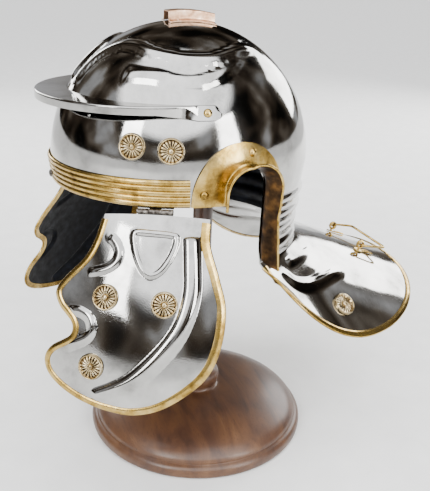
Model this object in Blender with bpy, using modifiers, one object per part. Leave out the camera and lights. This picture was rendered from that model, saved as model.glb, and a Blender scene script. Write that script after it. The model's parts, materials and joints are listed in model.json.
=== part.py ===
import math

import bmesh
import bpy
from mathutils import Matrix, Vector

# Roman legionary helmet on a turned wooden stand, in metres.
# The stand's foot lies at z = 0 on the Z axis, the face looks along -Y and the wearer's left is +X.

# Clearances between pieces
SEAT_GAP = 0.0003
RUNNING_GAP = 0.0004

# Bowl: an egg-shaped steel skull, half axes of its outer face at the widest level
BOWL_HALF_WIDTH = 0.0970
BOWL_HALF_LENGTH = 0.1125
BOWL_RISE = 0.1110
BOWL_CENTRE_Y = -0.0226
BOWL_SHEET = 0.0015
WAIST_HEIGHT = 0.2780
RIM_HEIGHT = 0.2590
NAPE_HEIGHT = 0.2060
NAPE_TUCK = 0.0110
SIDE_TUCK = 0.0010
NAPE_FLARE = 0.0040
NAPE_FLARE_START = 0.75
BOWL_COLUMNS = 44
BOWL_ROWS = 13

# Nape: level ribs pressed into the back of the bowl
NAPE_RIBS = 4
NAPE_RIB_RELIEF = 0.0022

# Eyebrow waves raised on each side of the bowl
BROW_RELIEF = 0.0024
BROW_LOWER_RELIEF = 0.0015
BROW_RIDGE_HALF_WIDTH = 0.0080
BROW_START_RISE = 0.0040
BROW_FADE = 0.0120

# Ear opening: an arch that runs on down the front edge of the nape
EAR_CENTRE_Y = 0.0
EAR_RADIUS = 0.0172
EAR_SPRING_HEIGHT = 0.2718

# Ear guard: brass plate round the arch with an out-turned flange
EAR_PLATE_CENTRE_Y = -0.0050
EAR_PLATE_CENTRE_HEIGHT = 0.2620
EAR_PLATE_HALF_LENGTH = 0.0400
EAR_PLATE_RISE = 0.0460
EAR_PLATE_SHEET = 0.0010
EAR_LEG_WIDTH = 0.0075
EAR_SEAT_GAP = 0.0006
EAR_FLANGE_REACH = 0.0150
EAR_FLARE_FRONT = 0.0040
EAR_FLARE_TOP = 0.0020
EAR_FLARE_BACK = 0.0090
EAR_FOOT_RISE = 0.0025
EAR_FOOT_DROP = 0.0060

# Brow band: brass strip with rounded ribs round the front of the rim
BAND_HEIGHT = 0.0215
BAND_SHEET = 0.0010
BAND_RIBS = 5
BAND_RIB_RELIEF = 0.0012
BAND_END_GAP = 0.0008
BAND_BEND_SHARE = 0.90
BROW_STUD_SHARE = 0.30

# Visor: steel peak with a turned-down edge that ends in flat tabs on the temples
VISOR_HEIGHT = 0.3350
VISOR_REACH = 0.0250
VISOR_SHEET = 0.0014
VISOR_EDGE_DEPTH = 0.0065
VISOR_TAB_DEPTH = 0.0105
VISOR_HALF_SWEEP = math.radians(91.0)
VISOR_TAB_SWEEP = math.radians(10.0)
VISOR_RIVET_INSET = 0.0100
VISOR_TAPER = 0.9
VISOR_TAB_SPREAD = 3.0
VISOR_LEAST_THROAT = 0.00001

# Neck guard: drooping fan below the nape, outline in plan and heights of its edge
NECK_SHEET = 0.0015
NECK_HALF_WIDTH = 0.1250
NECK_WIDEST_Y = 0.0800
NECK_REAR_Y = 0.2040
NECK_ROUNDNESS = 2.3
NECK_LOW_HEIGHT = 0.1380
NECK_LOW_Y = 0.1180
NECK_REAR_HEIGHT = 0.1590
NECK_CORNER_X = 0.1080
NECK_CORNER_Y = 0.0265
NECK_CORNER_HEIGHT = 0.1960
NECK_SHOULDER_X = 0.1220
NECK_SHOULDER_Y = 0.0380
NECK_SIDE_SHARE = 0.30
NECK_THROAT_DROP = 0.0040
NECK_ARC_RELIEF = 0.0022
NECK_ARC_HALF_WIDTH = 0.0070
NECK_ROSETTE_LIFT = 0.0006
NECK_COLUMNS = 14
NECK_ROWS = 6
NECK_CROWDING = 1.3

# Edge trims: brass channels that clasp the sheet's edge
TRIM_SHEET = 0.0007
TRIM_LAP = 0.0030
TRIM_GAP = 0.0005
NECK_TRIM_GAP = 0.0008

# Rosettes and rivets
ROSETTE_RADIUS = 0.0098
ROSETTE_HEIGHT = 0.0030
RIVET_RADIUS = 0.0034
RIVET_HEIGHT = 0.0022

# Crest holder: raised channel on the crown with a flange on each side
CREST_LENGTH = 0.0400
CREST_CENTRE_Y = -0.0180
CREST_CHANNEL_HALF_WIDTH = 0.0070
CREST_FLANGE_HALF_WIDTH = 0.0125
CREST_HEIGHT = 0.0085
CREST_SHEET = 0.0010

# Carrying handle: wire bail in two eyelets on the neck guard
HANDLE_HALF_SPAN = 0.0270
HANDLE_FOOT_Y = 0.1540
HANDLE_PIVOT_RISE = 0.0065
HANDLE_REACH = 0.0260
HANDLE_WIRE_RADIUS = 0.0012
HANDLE_BEND = 0.0024
HANDLE_REST_DROP = math.radians(10.0)
LUG_RING_RADIUS = 0.0033
LUG_WIRE_RADIUS = 0.0011
LUG_FOOT_RADIUS = 0.0045
LUG_FOOT_SHEET = 0.0010
LUG_SEAT_GAP = 0.0005

# Cheek guards: dished plates, hinged on the rim
HINGE_Y = -0.0710
HINGE_DROP = 0.0030
HINGE_OUT = 0.0016
HINGE_LENGTH = 0.0280
HINGE_KNUCKLE_RADIUS = 0.0022
HINGE_PIN_RADIUS = 0.0010
HINGE_LEAF_SHEET = 0.0010
HINGE_LEAF_LENGTH = 0.0090
HINGE_WALL_GAP = 0.0014
HINGE_GUARD_GAP = 0.0017
GUARD_LENGTH = 0.1490
GUARD_WIDTH = 0.1410
GUARD_SHEET = 0.0012
GUARD_RADIUS_ACROSS = 0.1613
GUARD_RADIUS_DOWN = 0.3333
GUARD_RELIEF = 0.0022
GUARD_RIDGE_HALF_WIDTH = 0.0075
GUARD_ROSETTE_LIFT = 0.0003
GUARD_CELL = 0.0120
GUARD_TOP_GAP = 0.0026
GUARD_REST_SWING_LEFT = math.radians(34.0)
GUARD_REST_SWING_RIGHT = math.radians(30.0)

# Stand: turned foot, dome, ring, column and a rounded head under the crown
STAND_RADIUS = 0.1055
STAND_DOME_HEIGHT = 0.0360
STAND_RING_RADIUS = 0.0215
STAND_RING_HEIGHT = 0.0480
STAND_COLUMN_RADIUS = 0.0090
STAND_HEAD_RADIUS = 0.0300
STAND_HEAD_RISE = 0.0150
STAND_HEAD_TAPER = 0.0180
STAND_HEAD_FACET_GAP = 0.0006

# The wearer's left is at +X
SIDES = (("left", 1), ("right", -1))

# Colour, roughness and metallic value of each finish
LOOKS = {
    "steel": ((0.72, 0.72, 0.73), 0.18, 1.0),
    "brass": ((0.80, 0.58, 0.22), 0.28, 1.0),
    "copper": ((0.72, 0.42, 0.26), 0.35, 1.0),
    "iron": ((0.16, 0.14, 0.13), 0.50, 1.0),
    "wood": ((0.22, 0.09, 0.04), 0.35, 0.0),
}

# Numbers of sides and steps of the curved pieces
ROSETTE_SIDES = 10
RIVET_SIDES = 8
KNUCKLE_SIDES = 8
LUG_SIDES = 8
LUG_WIRE_SIDES = 6
STAND_SIDES = 20
STAND_HEAD_RINGS = 4
EAR_ARCH_STEPS = 12
EAR_GUARD_STEPS = 10
EAR_LEG_STEPS = 4
EAR_PLATE_CELLS = 3
CREST_STATIONS = 5
GUARD_CURVE_STEPS = 2
WAVE_CURVE_STEPS = 2

# Search for the spot under a point: number of steps, and the small share used to read a slope
SEARCH_STEPS = 12
SLOPE_SHARE = 0.01

# Eyebrow waves in plan: distance out from the middle and back from the bowl's centre,
# as shares of the bowl's half width and half length
BROW_UPPER = (
    {"out": 0.08, "back": -0.86},
    {"out": 0.08, "back": -0.60},
    {"out": 0.28, "back": -0.44},
    {"out": 0.52, "back": -0.33},
    {"out": 0.63, "back": -0.15},
    {"out": 0.63, "back": 0.08},
    {"out": 0.44, "back": 0.38},
)
BROW_LOWER = (
    {"out": 0.50, "back": -0.55},
    {"out": 0.64, "back": -0.39},
    {"out": 0.78, "back": -0.19},
    {"out": 0.77, "back": 0.00},
    {"out": 0.68, "back": 0.16},
    {"out": 0.48, "back": 0.34},
)

# Embossed arcs of the neck guard: share of the way round from ear to middle, and share from nape to edge
NECK_ARC_INNER = (
    {"round": 0.25, "out": 0.38},
    {"round": 0.42, "out": 0.35},
    {"round": 0.68, "out": 0.42},
)
NECK_ARC_OUTER = (
    {"round": 0.19, "out": 0.64},
    {"round": 0.46, "out": 0.62},
    {"round": 0.74, "out": 0.70},
)

# Cheek guard outline seen flat, from the top front corner round to the top back corner:
# forward and down from the hinge as shares of the guard's width and length; a sharp point keeps its corner
GUARD_OUTLINE = (
    {"forward": 0.277, "down": 0.00, "sharp": True},
    {"forward": 0.312, "down": 0.13, "sharp": False},
    {"forward": 0.365, "down": 0.23, "sharp": False},
    {"forward": 0.485, "down": 0.34, "sharp": False},
    {"forward": 0.524, "down": 0.40, "sharp": False},
    {"forward": 0.500, "down": 0.465, "sharp": False},
    {"forward": 0.410, "down": 0.565, "sharp": True},
    {"forward": 0.490, "down": 0.635, "sharp": False},
    {"forward": 0.575, "down": 0.69, "sharp": False},
    {"forward": 0.585, "down": 0.74, "sharp": False},
    {"forward": 0.460, "down": 0.88, "sharp": False},
    {"forward": 0.230, "down": 0.975, "sharp": False},
    {"forward": 0.060, "down": 1.00, "sharp": False},
    {"forward": -0.110, "down": 0.955, "sharp": False},
    {"forward": -0.300, "down": 0.82, "sharp": False},
    {"forward": -0.385, "down": 0.66, "sharp": False},
    {"forward": -0.405, "down": 0.46, "sharp": False},
    {"forward": -0.360, "down": 0.30, "sharp": False},
    {"forward": -0.300, "down": 0.13, "sharp": False},
    {"forward": -0.298, "down": 0.00, "sharp": True},
)
GUARD_ROSETTES = (
    {"name": "front", "forward": 0.238, "down": 0.428},
    {"name": "back", "forward": -0.082, "down": 0.453},
    {"name": "low", "forward": 0.303, "down": 0.775},
)
GUARD_RIDGE = (
    {"forward": -0.200, "down": 0.13},
    {"forward": -0.216, "down": 0.36},
    {"forward": -0.165, "down": 0.57},
    {"forward": -0.060, "down": 0.725},
    {"forward": 0.085, "down": 0.845},
    {"forward": 0.267, "down": 0.915},
)
GUARD_EYE_RIDGE = (
    {"forward": 0.250, "down": 0.13},
    {"forward": 0.196, "down": 0.20},
    {"forward": 0.230, "down": 0.27},
    {"forward": 0.346, "down": 0.31},
)
GUARD_MOUTH_RIDGE = (
    {"forward": 0.432, "down": 0.506},
    {"forward": 0.350, "down": 0.515},
    {"forward": 0.306, "down": 0.576},
    {"forward": 0.326, "down": 0.624},
    {"forward": 0.447, "down": 0.672},
)

# Rosettes of the bowl and neck guard, and rivets, on the left side; the right side mirrors them
BOWL_ROSETTES = (
    {"name": "front", "y": -0.0865, "height": 0.3045},
    {"name": "back", "y": -0.0600, "height": 0.3025},
)
EAR_RIVETS = (
    {"name": "foot", "y": -0.0355, "height": 0.2690},
    {"name": "crown", "y": 0.0040, "height": 0.2995},
)
NECK_ROSETTE = {"round": 0.41, "out": 0.81}

# Foot of the stand: radius and height as shares of the foot's radius and the dome's height
STAND_FOOT_PROFILE = (
    {"radius": 0.975, "height": 0.00},
    {"radius": 1.000, "height": 0.12},
    {"radius": 0.990, "height": 0.28},
    {"radius": 0.950, "height": 0.36},
    {"radius": 0.940, "height": 0.42},
    {"radius": 0.935, "height": 0.50},
    {"radius": 0.820, "height": 0.74},
    {"radius": 0.600, "height": 0.92},
    {"radius": 0.300, "height": 1.00},
)

# Ring of the stand above the dome: radius and height as shares of the ring's radius and height
STAND_RING_PROFILE = (
    {"radius": 0.85, "height": 0.75},
    {"radius": 0.80, "height": 0.84},
    {"radius": 1.00, "height": 1.00},
    {"radius": 0.80, "height": 1.16},
)

# Rosette: round rim, sunk petals and domed middle; rivet: low dome; both from the top down the side
ROSETTE_PROFILE = (
    {"radius": 0.00, "height": 1.00},
    {"radius": 0.22, "height": 0.85},
    {"radius": 0.34, "height": 0.45},
    {"radius": 0.78, "height": 0.45},
    {"radius": 0.90, "height": 0.80},
    {"radius": 1.00, "height": 0.00},
    {"radius": 0.00, "height": 0.00},
)
RIVET_PROFILE = (
    {"radius": 0.00, "height": 1.00},
    {"radius": 0.70, "height": 0.72},
    {"radius": 1.00, "height": 0.00},
    {"radius": 0.00, "height": 0.00},
)


def clear_scene():
    for old in list(bpy.data.objects):
        bpy.data.objects.remove(old, do_unlink=True)


def make_collection(name):
    group = bpy.data.collections.new(name)
    bpy.context.scene.collection.children.link(group)
    return group


def make_material(name, color, roughness, metallic):
    material = bpy.data.materials.new(name)
    material.use_nodes = True
    shader = material.node_tree.nodes["Principled BSDF"]
    shader.inputs["Base Color"].default_value = (*color, 1.0)
    shader.inputs["Roughness"].default_value = roughness
    shader.inputs["Metallic"].default_value = metallic
    return material


def finish_piece(mesh, name, look):
    """Give a mesh its object, material and place among the parts."""
    piece = bpy.data.objects.new(name, mesh)
    parts.objects.link(piece)
    color, roughness, metallic = LOOKS[look]
    mesh.materials.clear()
    mesh.materials.append(make_material(name, color, roughness, metallic))
    mesh.shade_smooth()
    mesh.set_sharp_from_angle(angle=math.radians(35.0))
    return piece


def mesh_from(bm, name):
    """Close a bmesh into a mesh with its faces pointing out."""
    bmesh.ops.recalc_face_normals(bm, faces=bm.faces)
    mesh = bpy.data.meshes.new(name)
    bm.to_mesh(mesh)
    bm.free()
    return mesh


def loft(name, sections, closed=False):
    """A closed body through sections that have the same number of points."""
    bm = bmesh.new()
    rings = [[bm.verts.new(point) for point in section] for section in sections]
    count = len(rings[0])
    pairs = list(zip(rings, rings[1:]))
    if closed:
        pairs.append((rings[-1], rings[0]))
    for ring, following in pairs:
        for i in range(count):
            j = (i + 1) % count
            bm.faces.new((ring[i], ring[j], following[j], following[i]))
    if not closed:
        bm.faces.new(rings[0])
        bm.faces.new(rings[-1])
    return mesh_from(bm, name)


def turned(name, profile, sides, look, place=None):
    """A turned piece: a profile of (radius, height) pairs from top to bottom with a Screw modifier."""
    mesh = bpy.data.meshes.new(name)
    points = [(radius, 0.0, height) for radius, height in profile]
    edges = [(i, i + 1) for i in range(len(points) - 1)]
    mesh.from_pydata(points, edges, [])
    piece = finish_piece(mesh, name, look)
    screw = piece.modifiers.new("turn", "SCREW")
    screw.steps = sides
    screw.render_steps = sides
    screw.use_merge_vertices = True
    screw.merge_threshold = 0.00001
    screw.use_normal_calculate = False
    if place:
        piece.matrix_world = place
    return piece


def evaluated_mesh(piece):
    """The mesh that an object's modifiers or curve settings make, in world space."""
    graph = bpy.context.evaluated_depsgraph_get()
    mesh = bpy.data.meshes.new_from_object(piece.evaluated_get(graph))
    mesh.transform(piece.matrix_world)
    bm = bmesh.new()
    bm.from_mesh(mesh)
    bmesh.ops.remove_doubles(bm, verts=bm.verts, dist=0.00001)
    bm.to_mesh(mesh)
    bm.free()
    return mesh


def cutter_from(mesh, name):
    cutter = bpy.data.objects.new(name, mesh)
    cutters.objects.link(cutter)
    cutter.hide_render = True
    cutter.display_type = "WIRE"
    return cutter


def combine(piece, other, operation):
    modifier = piece.modifiers.new(operation.lower(), "BOOLEAN")
    modifier.operation = operation
    modifier.solver = "EXACT"
    modifier.object = other


def seat_matrix(point, outward):
    """A place at a point with its own +Z along the outward direction."""
    turn = outward.to_track_quat("Z", "Y").to_matrix().to_4x4()
    return Matrix.Translation(point) @ turn


def mirrored(point, side):
    return Vector((point.x * side, point.y, point.z))


def smooth_line(rows, keys, steps):
    """Points of a smooth curve through rows; rows marked sharp keep their corner."""
    points = [Vector([row[key] for key in keys]) for row in rows]
    line = []
    for i in range(len(points) - 1):
        before = points[i - 1] if i > 0 and not rows[i].get("sharp") else points[i]
        after = points[i + 2] if i + 2 < len(points) and not rows[i + 1].get("sharp") else points[i + 1]
        start, end = points[i], points[i + 1]
        for step in range(steps):
            t = step / steps
            line.append(
                0.5 * (2 * start + (end - before) * t
                       + (2 * before - 5 * start + 4 * end - after) * t * t
                       + (3 * start - before - 3 * end + after) * t * t * t)
            )
    line.append(points[-1])
    return line


def line_distance(point, line):
    """Shortest distance from a flat point to a line of flat points."""
    nearest = math.inf
    for start, end in zip(line, line[1:]):
        along = end - start
        share = max(0.0, min(1.0, (point - start).dot(along) / along.length_squared))
        nearest = min(nearest, (point - start - along * share).length)
    return nearest


def ridge_height(distance, half_width, relief):
    if distance >= half_width:
        return 0.0
    return relief * 0.5 * (1.0 + math.cos(math.pi * distance / half_width))


def bowl_section(height):
    """Half width and half length of the bowl's outer face at a height."""
    if height >= WAIST_HEIGHT:
        share = math.sqrt(max(0.0, 1.0 - ((height - WAIST_HEIGHT) / BOWL_RISE) ** 2))
        return BOWL_HALF_WIDTH * share, BOWL_HALF_LENGTH * share
    drop = (WAIST_HEIGHT - height) / (WAIST_HEIGHT - NAPE_HEIGHT)
    flare = NAPE_FLARE * max(0.0, (drop - NAPE_FLARE_START) / (1.0 - NAPE_FLARE_START)) ** 2
    return BOWL_HALF_WIDTH - SIDE_TUCK * drop + flare, BOWL_HALF_LENGTH - NAPE_TUCK * drop + flare


def bowl_point(angle, height, out=0.0):
    """A point on the bowl's outer face; the angle runs from the brow round by the left, out is level."""
    half_width, half_length = bowl_section(height)
    sine, cosine = math.sin(angle), math.cos(angle)
    level = Vector((sine * half_length, -cosine * half_width, 0.0))
    if level.length > 0.0:
        level.normalize()
    return Vector((half_width * sine, BOWL_CENTRE_Y - half_length * cosine, height)) + level * out


def bowl_angle(y, height):
    half_length = bowl_section(height)[1]
    return math.acos(max(-1.0, min(1.0, (BOWL_CENTRE_Y - y) / half_length)))


def bowl_normal(point):
    """Outward normal of the bowl's dome."""
    rise = max(0.0, point.z - WAIST_HEIGHT)
    return Vector((
        point.x / BOWL_HALF_WIDTH ** 2,
        (point.y - BOWL_CENTRE_Y) / BOWL_HALF_LENGTH ** 2,
        rise / BOWL_RISE ** 2,
    )).normalized()


def brow_relief(point):
    """Height of the eyebrow waves above the plain dome, the same on both sides."""
    flat = Vector((abs(point.x) / BOWL_HALF_WIDTH, (point.y - BOWL_CENTRE_Y) / BOWL_HALF_LENGTH))
    scale = BOWL_HALF_LENGTH
    upper = line_distance(flat, smooth_line(BROW_UPPER, ("out", "back"), WAVE_CURVE_STEPS)) * scale
    lower = line_distance(flat, smooth_line(BROW_LOWER, ("out", "back"), WAVE_CURVE_STEPS)) * scale
    tall = ridge_height(upper, BROW_RIDGE_HALF_WIDTH, BROW_RELIEF)
    tall = max(tall, ridge_height(lower, BROW_RIDGE_HALF_WIDTH, BROW_LOWER_RELIEF))
    rise = (point.z - VISOR_HEIGHT - BROW_START_RISE) / BROW_FADE
    return tall * max(0.0, min(1.0, rise))


def make_bowl():
    """Skull and nape in one sheet, with the ear openings cut through."""
    bm = bmesh.new()
    rows = []
    for i in range(1, BOWL_ROWS + 1):
        elevation = math.radians(90.0) * (1.0 - i / BOWL_ROWS)
        rows.append(WAIST_HEIGHT + BOWL_RISE * math.sin(elevation))
    rows.append(RIM_HEIGHT)
    dome_rows = len(rows)
    steps = 2 * NAPE_RIBS
    rows += [RIM_HEIGHT - (RIM_HEIGHT - NAPE_HEIGHT) * (i + 1) / steps for i in range(steps)]
    angles = [2.0 * math.pi * i / BOWL_COLUMNS for i in range(BOWL_COLUMNS)]
    ear_column = bowl_angle(EAR_CENTRE_Y, NAPE_HEIGHT)
    leg_end = bowl_angle(EAR_CENTRE_Y + EAR_RADIUS + EAR_LEG_WIDTH, RIM_HEIGHT)
    rib_start = leg_end + 2.0 * math.pi / BOWL_COLUMNS

    crown = bm.verts.new((0.0, BOWL_CENTRE_Y, WAIST_HEIGHT + BOWL_RISE))
    grid = {}
    for row, height in enumerate(rows):
        for column, angle in enumerate(angles):
            at_nape = ear_column <= angle <= 2.0 * math.pi - ear_column
            if row >= dome_rows and not at_nape:
                continue
            point = bowl_point(angle, height)
            if row < dome_rows - 1:
                point += bowl_normal(point) * brow_relief(point)
            on_rib = row >= dome_rows and (row - dome_rows) % 2 == 0
            if on_rib and rib_start < angle < 2.0 * math.pi - rib_start:
                point = bowl_point(angle, height, NAPE_RIB_RELIEF)
            grid[row, column] = bm.verts.new(point)
    for column in range(BOWL_COLUMNS):
        beside = (column + 1) % BOWL_COLUMNS
        bm.faces.new((crown, grid[0, column], grid[0, beside]))
        for row in range(len(rows) - 1):
            corners = ((row, column), (row + 1, column), (row + 1, beside), (row, beside))
            if all(corner in grid for corner in corners):
                bm.faces.new([grid[corner] for corner in corners])
    bowl = finish_piece(mesh_from(bm, "bowl"), "bowl", "steel")
    sheet = bowl.modifiers.new("sheet", "SOLIDIFY")
    sheet.thickness = BOWL_SHEET
    sheet.offset = -1.0
    sheet.use_even_offset = True

    outline = [(EAR_CENTRE_Y - EAR_RADIUS, NAPE_HEIGHT - EAR_RADIUS)]
    for i in range(EAR_ARCH_STEPS + 1):
        turn = math.pi * (1.0 - i / EAR_ARCH_STEPS)
        y = EAR_CENTRE_Y + EAR_RADIUS * math.cos(turn)
        outline.append((y, EAR_SPRING_HEIGHT + EAR_RADIUS * math.sin(turn)))
    outline.append((EAR_CENTRE_Y + EAR_RADIUS, NAPE_HEIGHT - EAR_RADIUS))
    reach = 2.0 * BOWL_HALF_WIDTH
    ends = [[Vector((x, y, z)) for y, z in outline] for x in (-reach, reach)]
    combine(bowl, cutter_from(loft("ear_cut", ends), "ear_cut"), "DIFFERENCE")


def ear_stations():
    """Rows of the ear guard from its front foot over the arch and down the nape's edge."""
    rows = [{"inner": (EAR_CENTRE_Y - EAR_RADIUS, RIM_HEIGHT + SEAT_GAP),
             "outer": (EAR_PLATE_CENTRE_Y - EAR_PLATE_HALF_LENGTH, RIM_HEIGHT + SEAT_GAP),
             "flare": EAR_FLARE_FRONT, "drop": 0.0}]
    for i in range(EAR_GUARD_STEPS + 1):
        turn = math.pi * (1.0 - i / EAR_GUARD_STEPS)
        cosine, sine = math.cos(turn), math.sin(turn)
        side_flare = EAR_FLARE_FRONT if cosine < 0.0 else EAR_FLARE_BACK
        rows.append({
            "inner": (EAR_CENTRE_Y + EAR_RADIUS * cosine, EAR_SPRING_HEIGHT + EAR_RADIUS * sine),
            "outer": (EAR_PLATE_CENTRE_Y + EAR_PLATE_HALF_LENGTH * cosine,
                      EAR_PLATE_CENTRE_HEIGHT + EAR_PLATE_RISE * sine),
            "flare": EAR_FLARE_TOP + (side_flare - EAR_FLARE_TOP) * abs(cosine), "drop": 0.0})
    foot = NAPE_HEIGHT + EAR_FOOT_RISE
    for i in range(1, EAR_LEG_STEPS + 1):
        height = EAR_PLATE_CENTRE_HEIGHT + (foot - EAR_PLATE_CENTRE_HEIGHT) * i / EAR_LEG_STEPS
        rows.append({
            "inner": (EAR_CENTRE_Y + EAR_RADIUS, height),
            "outer": (EAR_CENTRE_Y + EAR_RADIUS + EAR_LEG_WIDTH, height),
            "flare": EAR_FLARE_BACK, "drop": EAR_FOOT_DROP if i == EAR_LEG_STEPS else 0.0})
    return rows


def make_ear_guard(name, side):
    """Brass plate that follows the bowl round the arch, with a flange turned out over the ear."""
    near, far = EAR_SEAT_GAP, EAR_SEAT_GAP + EAR_PLATE_SHEET
    sections = []
    for row in ear_stations():
        inner, outer = Vector(row["inner"]), Vector(row["outer"])
        across = (outer - inner).normalized()

        def on_bowl(flat, out):
            return bowl_point(bowl_angle(flat.x, flat.y), flat.y, out)

        root = on_bowl(inner, near)

        def flange_point(flat, reach, drop):
            return Vector((root.x + reach, flat.x, flat.y - drop))

        corner = inner + across * EAR_PLATE_SHEET
        tip = inner + across * row["flare"]
        tip_back = tip + across * EAR_PLATE_SHEET
        spread = [i / EAR_PLATE_CELLS for i in range(EAR_PLATE_CELLS + 1)]
        section = [on_bowl(inner.lerp(outer, share), near) for share in spread]
        section += [on_bowl(corner.lerp(outer, 1.0 - share), far) for share in spread]
        section.append(flange_point(tip_back, EAR_FLANGE_REACH, row["drop"]))
        section.append(flange_point(tip, EAR_FLANGE_REACH, row["drop"]))
        sections.append([mirrored(point, side) for point in section])
    finish_piece(loft(name, sections), name, "brass")


def band_out(share):
    """How far the brow band's outer face stands off the bowl at a share of its height."""
    rib = abs(math.sin(math.pi * BAND_RIBS * share))
    return SEAT_GAP + BAND_SHEET + BAND_RIB_RELIEF * rib


def make_band():
    """Ribbed brass strip round the front of the rim, from ear guard to ear guard."""
    low = RIM_HEIGHT + SEAT_GAP
    reach = bowl_angle(EAR_PLATE_CENTRE_Y - EAR_PLATE_HALF_LENGTH - BAND_END_GAP, RIM_HEIGHT)
    step = 2.0 * math.pi / BOWL_COLUMNS
    inside = int(reach / step)
    angles = [-reach] + [i * step for i in range(-inside, inside + 1)] + [reach]
    points = 2 * BAND_RIBS
    sections = []
    for angle in angles:
        inner = (low, min(WAIST_HEIGHT, low + BAND_BEND_SHARE * BAND_HEIGHT), low + BAND_HEIGHT)
        section = [bowl_point(angle, height, SEAT_GAP) for height in inner]
        for i in range(points, -1, -1):
            share = i / points
            section.append(bowl_point(angle, low + BAND_HEIGHT * share, band_out(share)))
        sections.append(section)
    finish_piece(loft("brow_band", sections), "brow_band", "brass")


def make_visor():
    """Crescent peak with a turned-down edge that runs back into a flat tab on each temple."""
    stations = 2 * (BOWL_COLUMNS // 4)
    sections = []
    for i in range(stations + 1):
        angle = VISOR_HALF_SWEEP * (2.0 * i / stations - 1.0)
        front = max(0.0, math.cos(angle * math.radians(90.0) / (VISOR_HALF_SWEEP - VISOR_TAB_SWEEP)))
        reach = VISOR_REACH * front ** VISOR_TAPER
        depth = VISOR_TAB_DEPTH + (VISOR_EDGE_DEPTH - VISOR_TAB_DEPTH) * min(1.0, VISOR_TAB_SPREAD * front)
        low = VISOR_HEIGHT - depth
        top_out = SEAT_GAP + VISOR_SHEET + reach
        foot = bowl_point(angle, low, SEAT_GAP + VISOR_SHEET)
        edge = bowl_point(angle, VISOR_HEIGHT, top_out)
        level = (bowl_point(angle, VISOR_HEIGHT, 1.0) - bowl_point(angle, VISOR_HEIGHT)).normalized()
        lean = max(0.0, (foot - edge).dot(level))
        sheet = level * VISOR_SHEET
        down = Vector((0.0, 0.0, VISOR_SHEET))
        root = bowl_point(angle, VISOR_HEIGHT, SEAT_GAP)
        edge_low = Vector((edge.x, edge.y, low)) + level * lean
        under = edge - sheet - down + level * lean * VISOR_SHEET / depth
        root_low = bowl_point(angle, VISOR_HEIGHT - VISOR_SHEET, SEAT_GAP)
        if (under - root_low).dot(level) < 0.0:
            under = root_low + level * VISOR_LEAST_THROAT
        sections.append([root, edge, edge_low, edge_low - sheet, under, root_low])
    finish_piece(loft("visor", sections), "visor", "steel")


def neck_rim(share):
    """Edge of the neck guard from the left ear corner (0) to the middle of the back (1)."""
    if share < NECK_SIDE_SHARE:
        t = share / NECK_SIDE_SHARE
        corner, shoulder, widest = (1.0 - t) ** 2, 2.0 * t * (1.0 - t), t * t
        x = corner * NECK_CORNER_X + shoulder * NECK_SHOULDER_X + widest * NECK_HALF_WIDTH
        y = corner * NECK_CORNER_Y + shoulder * NECK_SHOULDER_Y + widest * NECK_WIDEST_Y
    else:
        turn = math.radians(90.0) * (share - NECK_SIDE_SHARE) / (1.0 - NECK_SIDE_SHARE)
        power = 2.0 / NECK_ROUNDNESS
        x = NECK_HALF_WIDTH * max(0.0, math.cos(turn)) ** power
        y = NECK_WIDEST_Y + (NECK_REAR_Y - NECK_WIDEST_Y) * math.sin(turn) ** power
    if y < NECK_LOW_Y:
        share = (NECK_LOW_Y - y) / (NECK_LOW_Y - NECK_CORNER_Y)
        lift = (NECK_CORNER_HEIGHT - NECK_LOW_HEIGHT) * share ** 2
    else:
        share = (y - NECK_LOW_Y) / (NECK_REAR_Y - NECK_LOW_Y)
        lift = (NECK_REAR_HEIGHT - NECK_LOW_HEIGHT) * share ** 2
    return Vector((x, y, NECK_LOW_HEIGHT + lift))


def neck_plain(share, out):
    """Top face of the neck guard's left half without its embossing."""
    ear_edge = bowl_angle(EAR_CENTRE_Y + EAR_RADIUS + SEAT_GAP, NAPE_HEIGHT)
    angle = ear_edge + (math.pi - ear_edge) * share
    nape = bowl_point(angle, NAPE_HEIGHT)
    nape.z -= SEAT_GAP
    throat = nape - Vector((0.0, 0.0, NECK_THROAT_DROP))
    rim = neck_rim(share)
    return nape * (1.0 - out) ** 2 + throat * 2.0 * out * (1.0 - out) + rim * out * out


def neck_point(share, out):
    """Top face of the neck guard's left half with its embossed arcs."""
    point = neck_plain(share, out)
    tall = 0.0
    for rows in (NECK_ARC_INNER, NECK_ARC_OUTER):
        line = [neck_plain(*spot) for spot in smooth_line(rows, ("round", "out"), WAVE_CURVE_STEPS)]
        tall = max(tall, ridge_height(line_distance(point, line), NECK_ARC_HALF_WIDTH, NECK_ARC_RELIEF))
    from_edge = min((point - neck_plain(share, 0.0)).length, (point - neck_rim(share)).length - TRIM_LAP)
    point.z += tall * max(0.0, min(1.0, from_edge / NECK_ARC_HALF_WIDTH))
    return point


def neck_both(column, out):
    """The neck guard's point at a column counted from the left ear over the back to the right ear."""
    if column <= NECK_COLUMNS:
        return neck_point((column / NECK_COLUMNS) ** NECK_CROWDING, out)
    return mirrored(neck_both(2 * NECK_COLUMNS - column, out), -1)


def make_neck_guard():
    bm = bmesh.new()
    columns = range(2 * NECK_COLUMNS + 1)
    grid = []
    for row in range(NECK_ROWS + 1):
        grid.append([bm.verts.new(neck_both(column, row / NECK_ROWS)) for column in columns])
    for upper, lower in zip(grid, grid[1:]):
        for i in range(2 * NECK_COLUMNS):
            bm.faces.new((upper[i], lower[i], lower[i + 1], upper[i + 1]))
    mesh = mesh_from(bm, "neck_guard")
    if mesh.polygons[0].normal.z < 0.0:
        mesh.flip_normals()
    guard = finish_piece(mesh, "neck_guard", "steel")
    sheet = guard.modifiers.new("sheet", "SOLIDIFY")
    sheet.thickness = NECK_SHEET
    sheet.offset = -1.0


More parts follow.
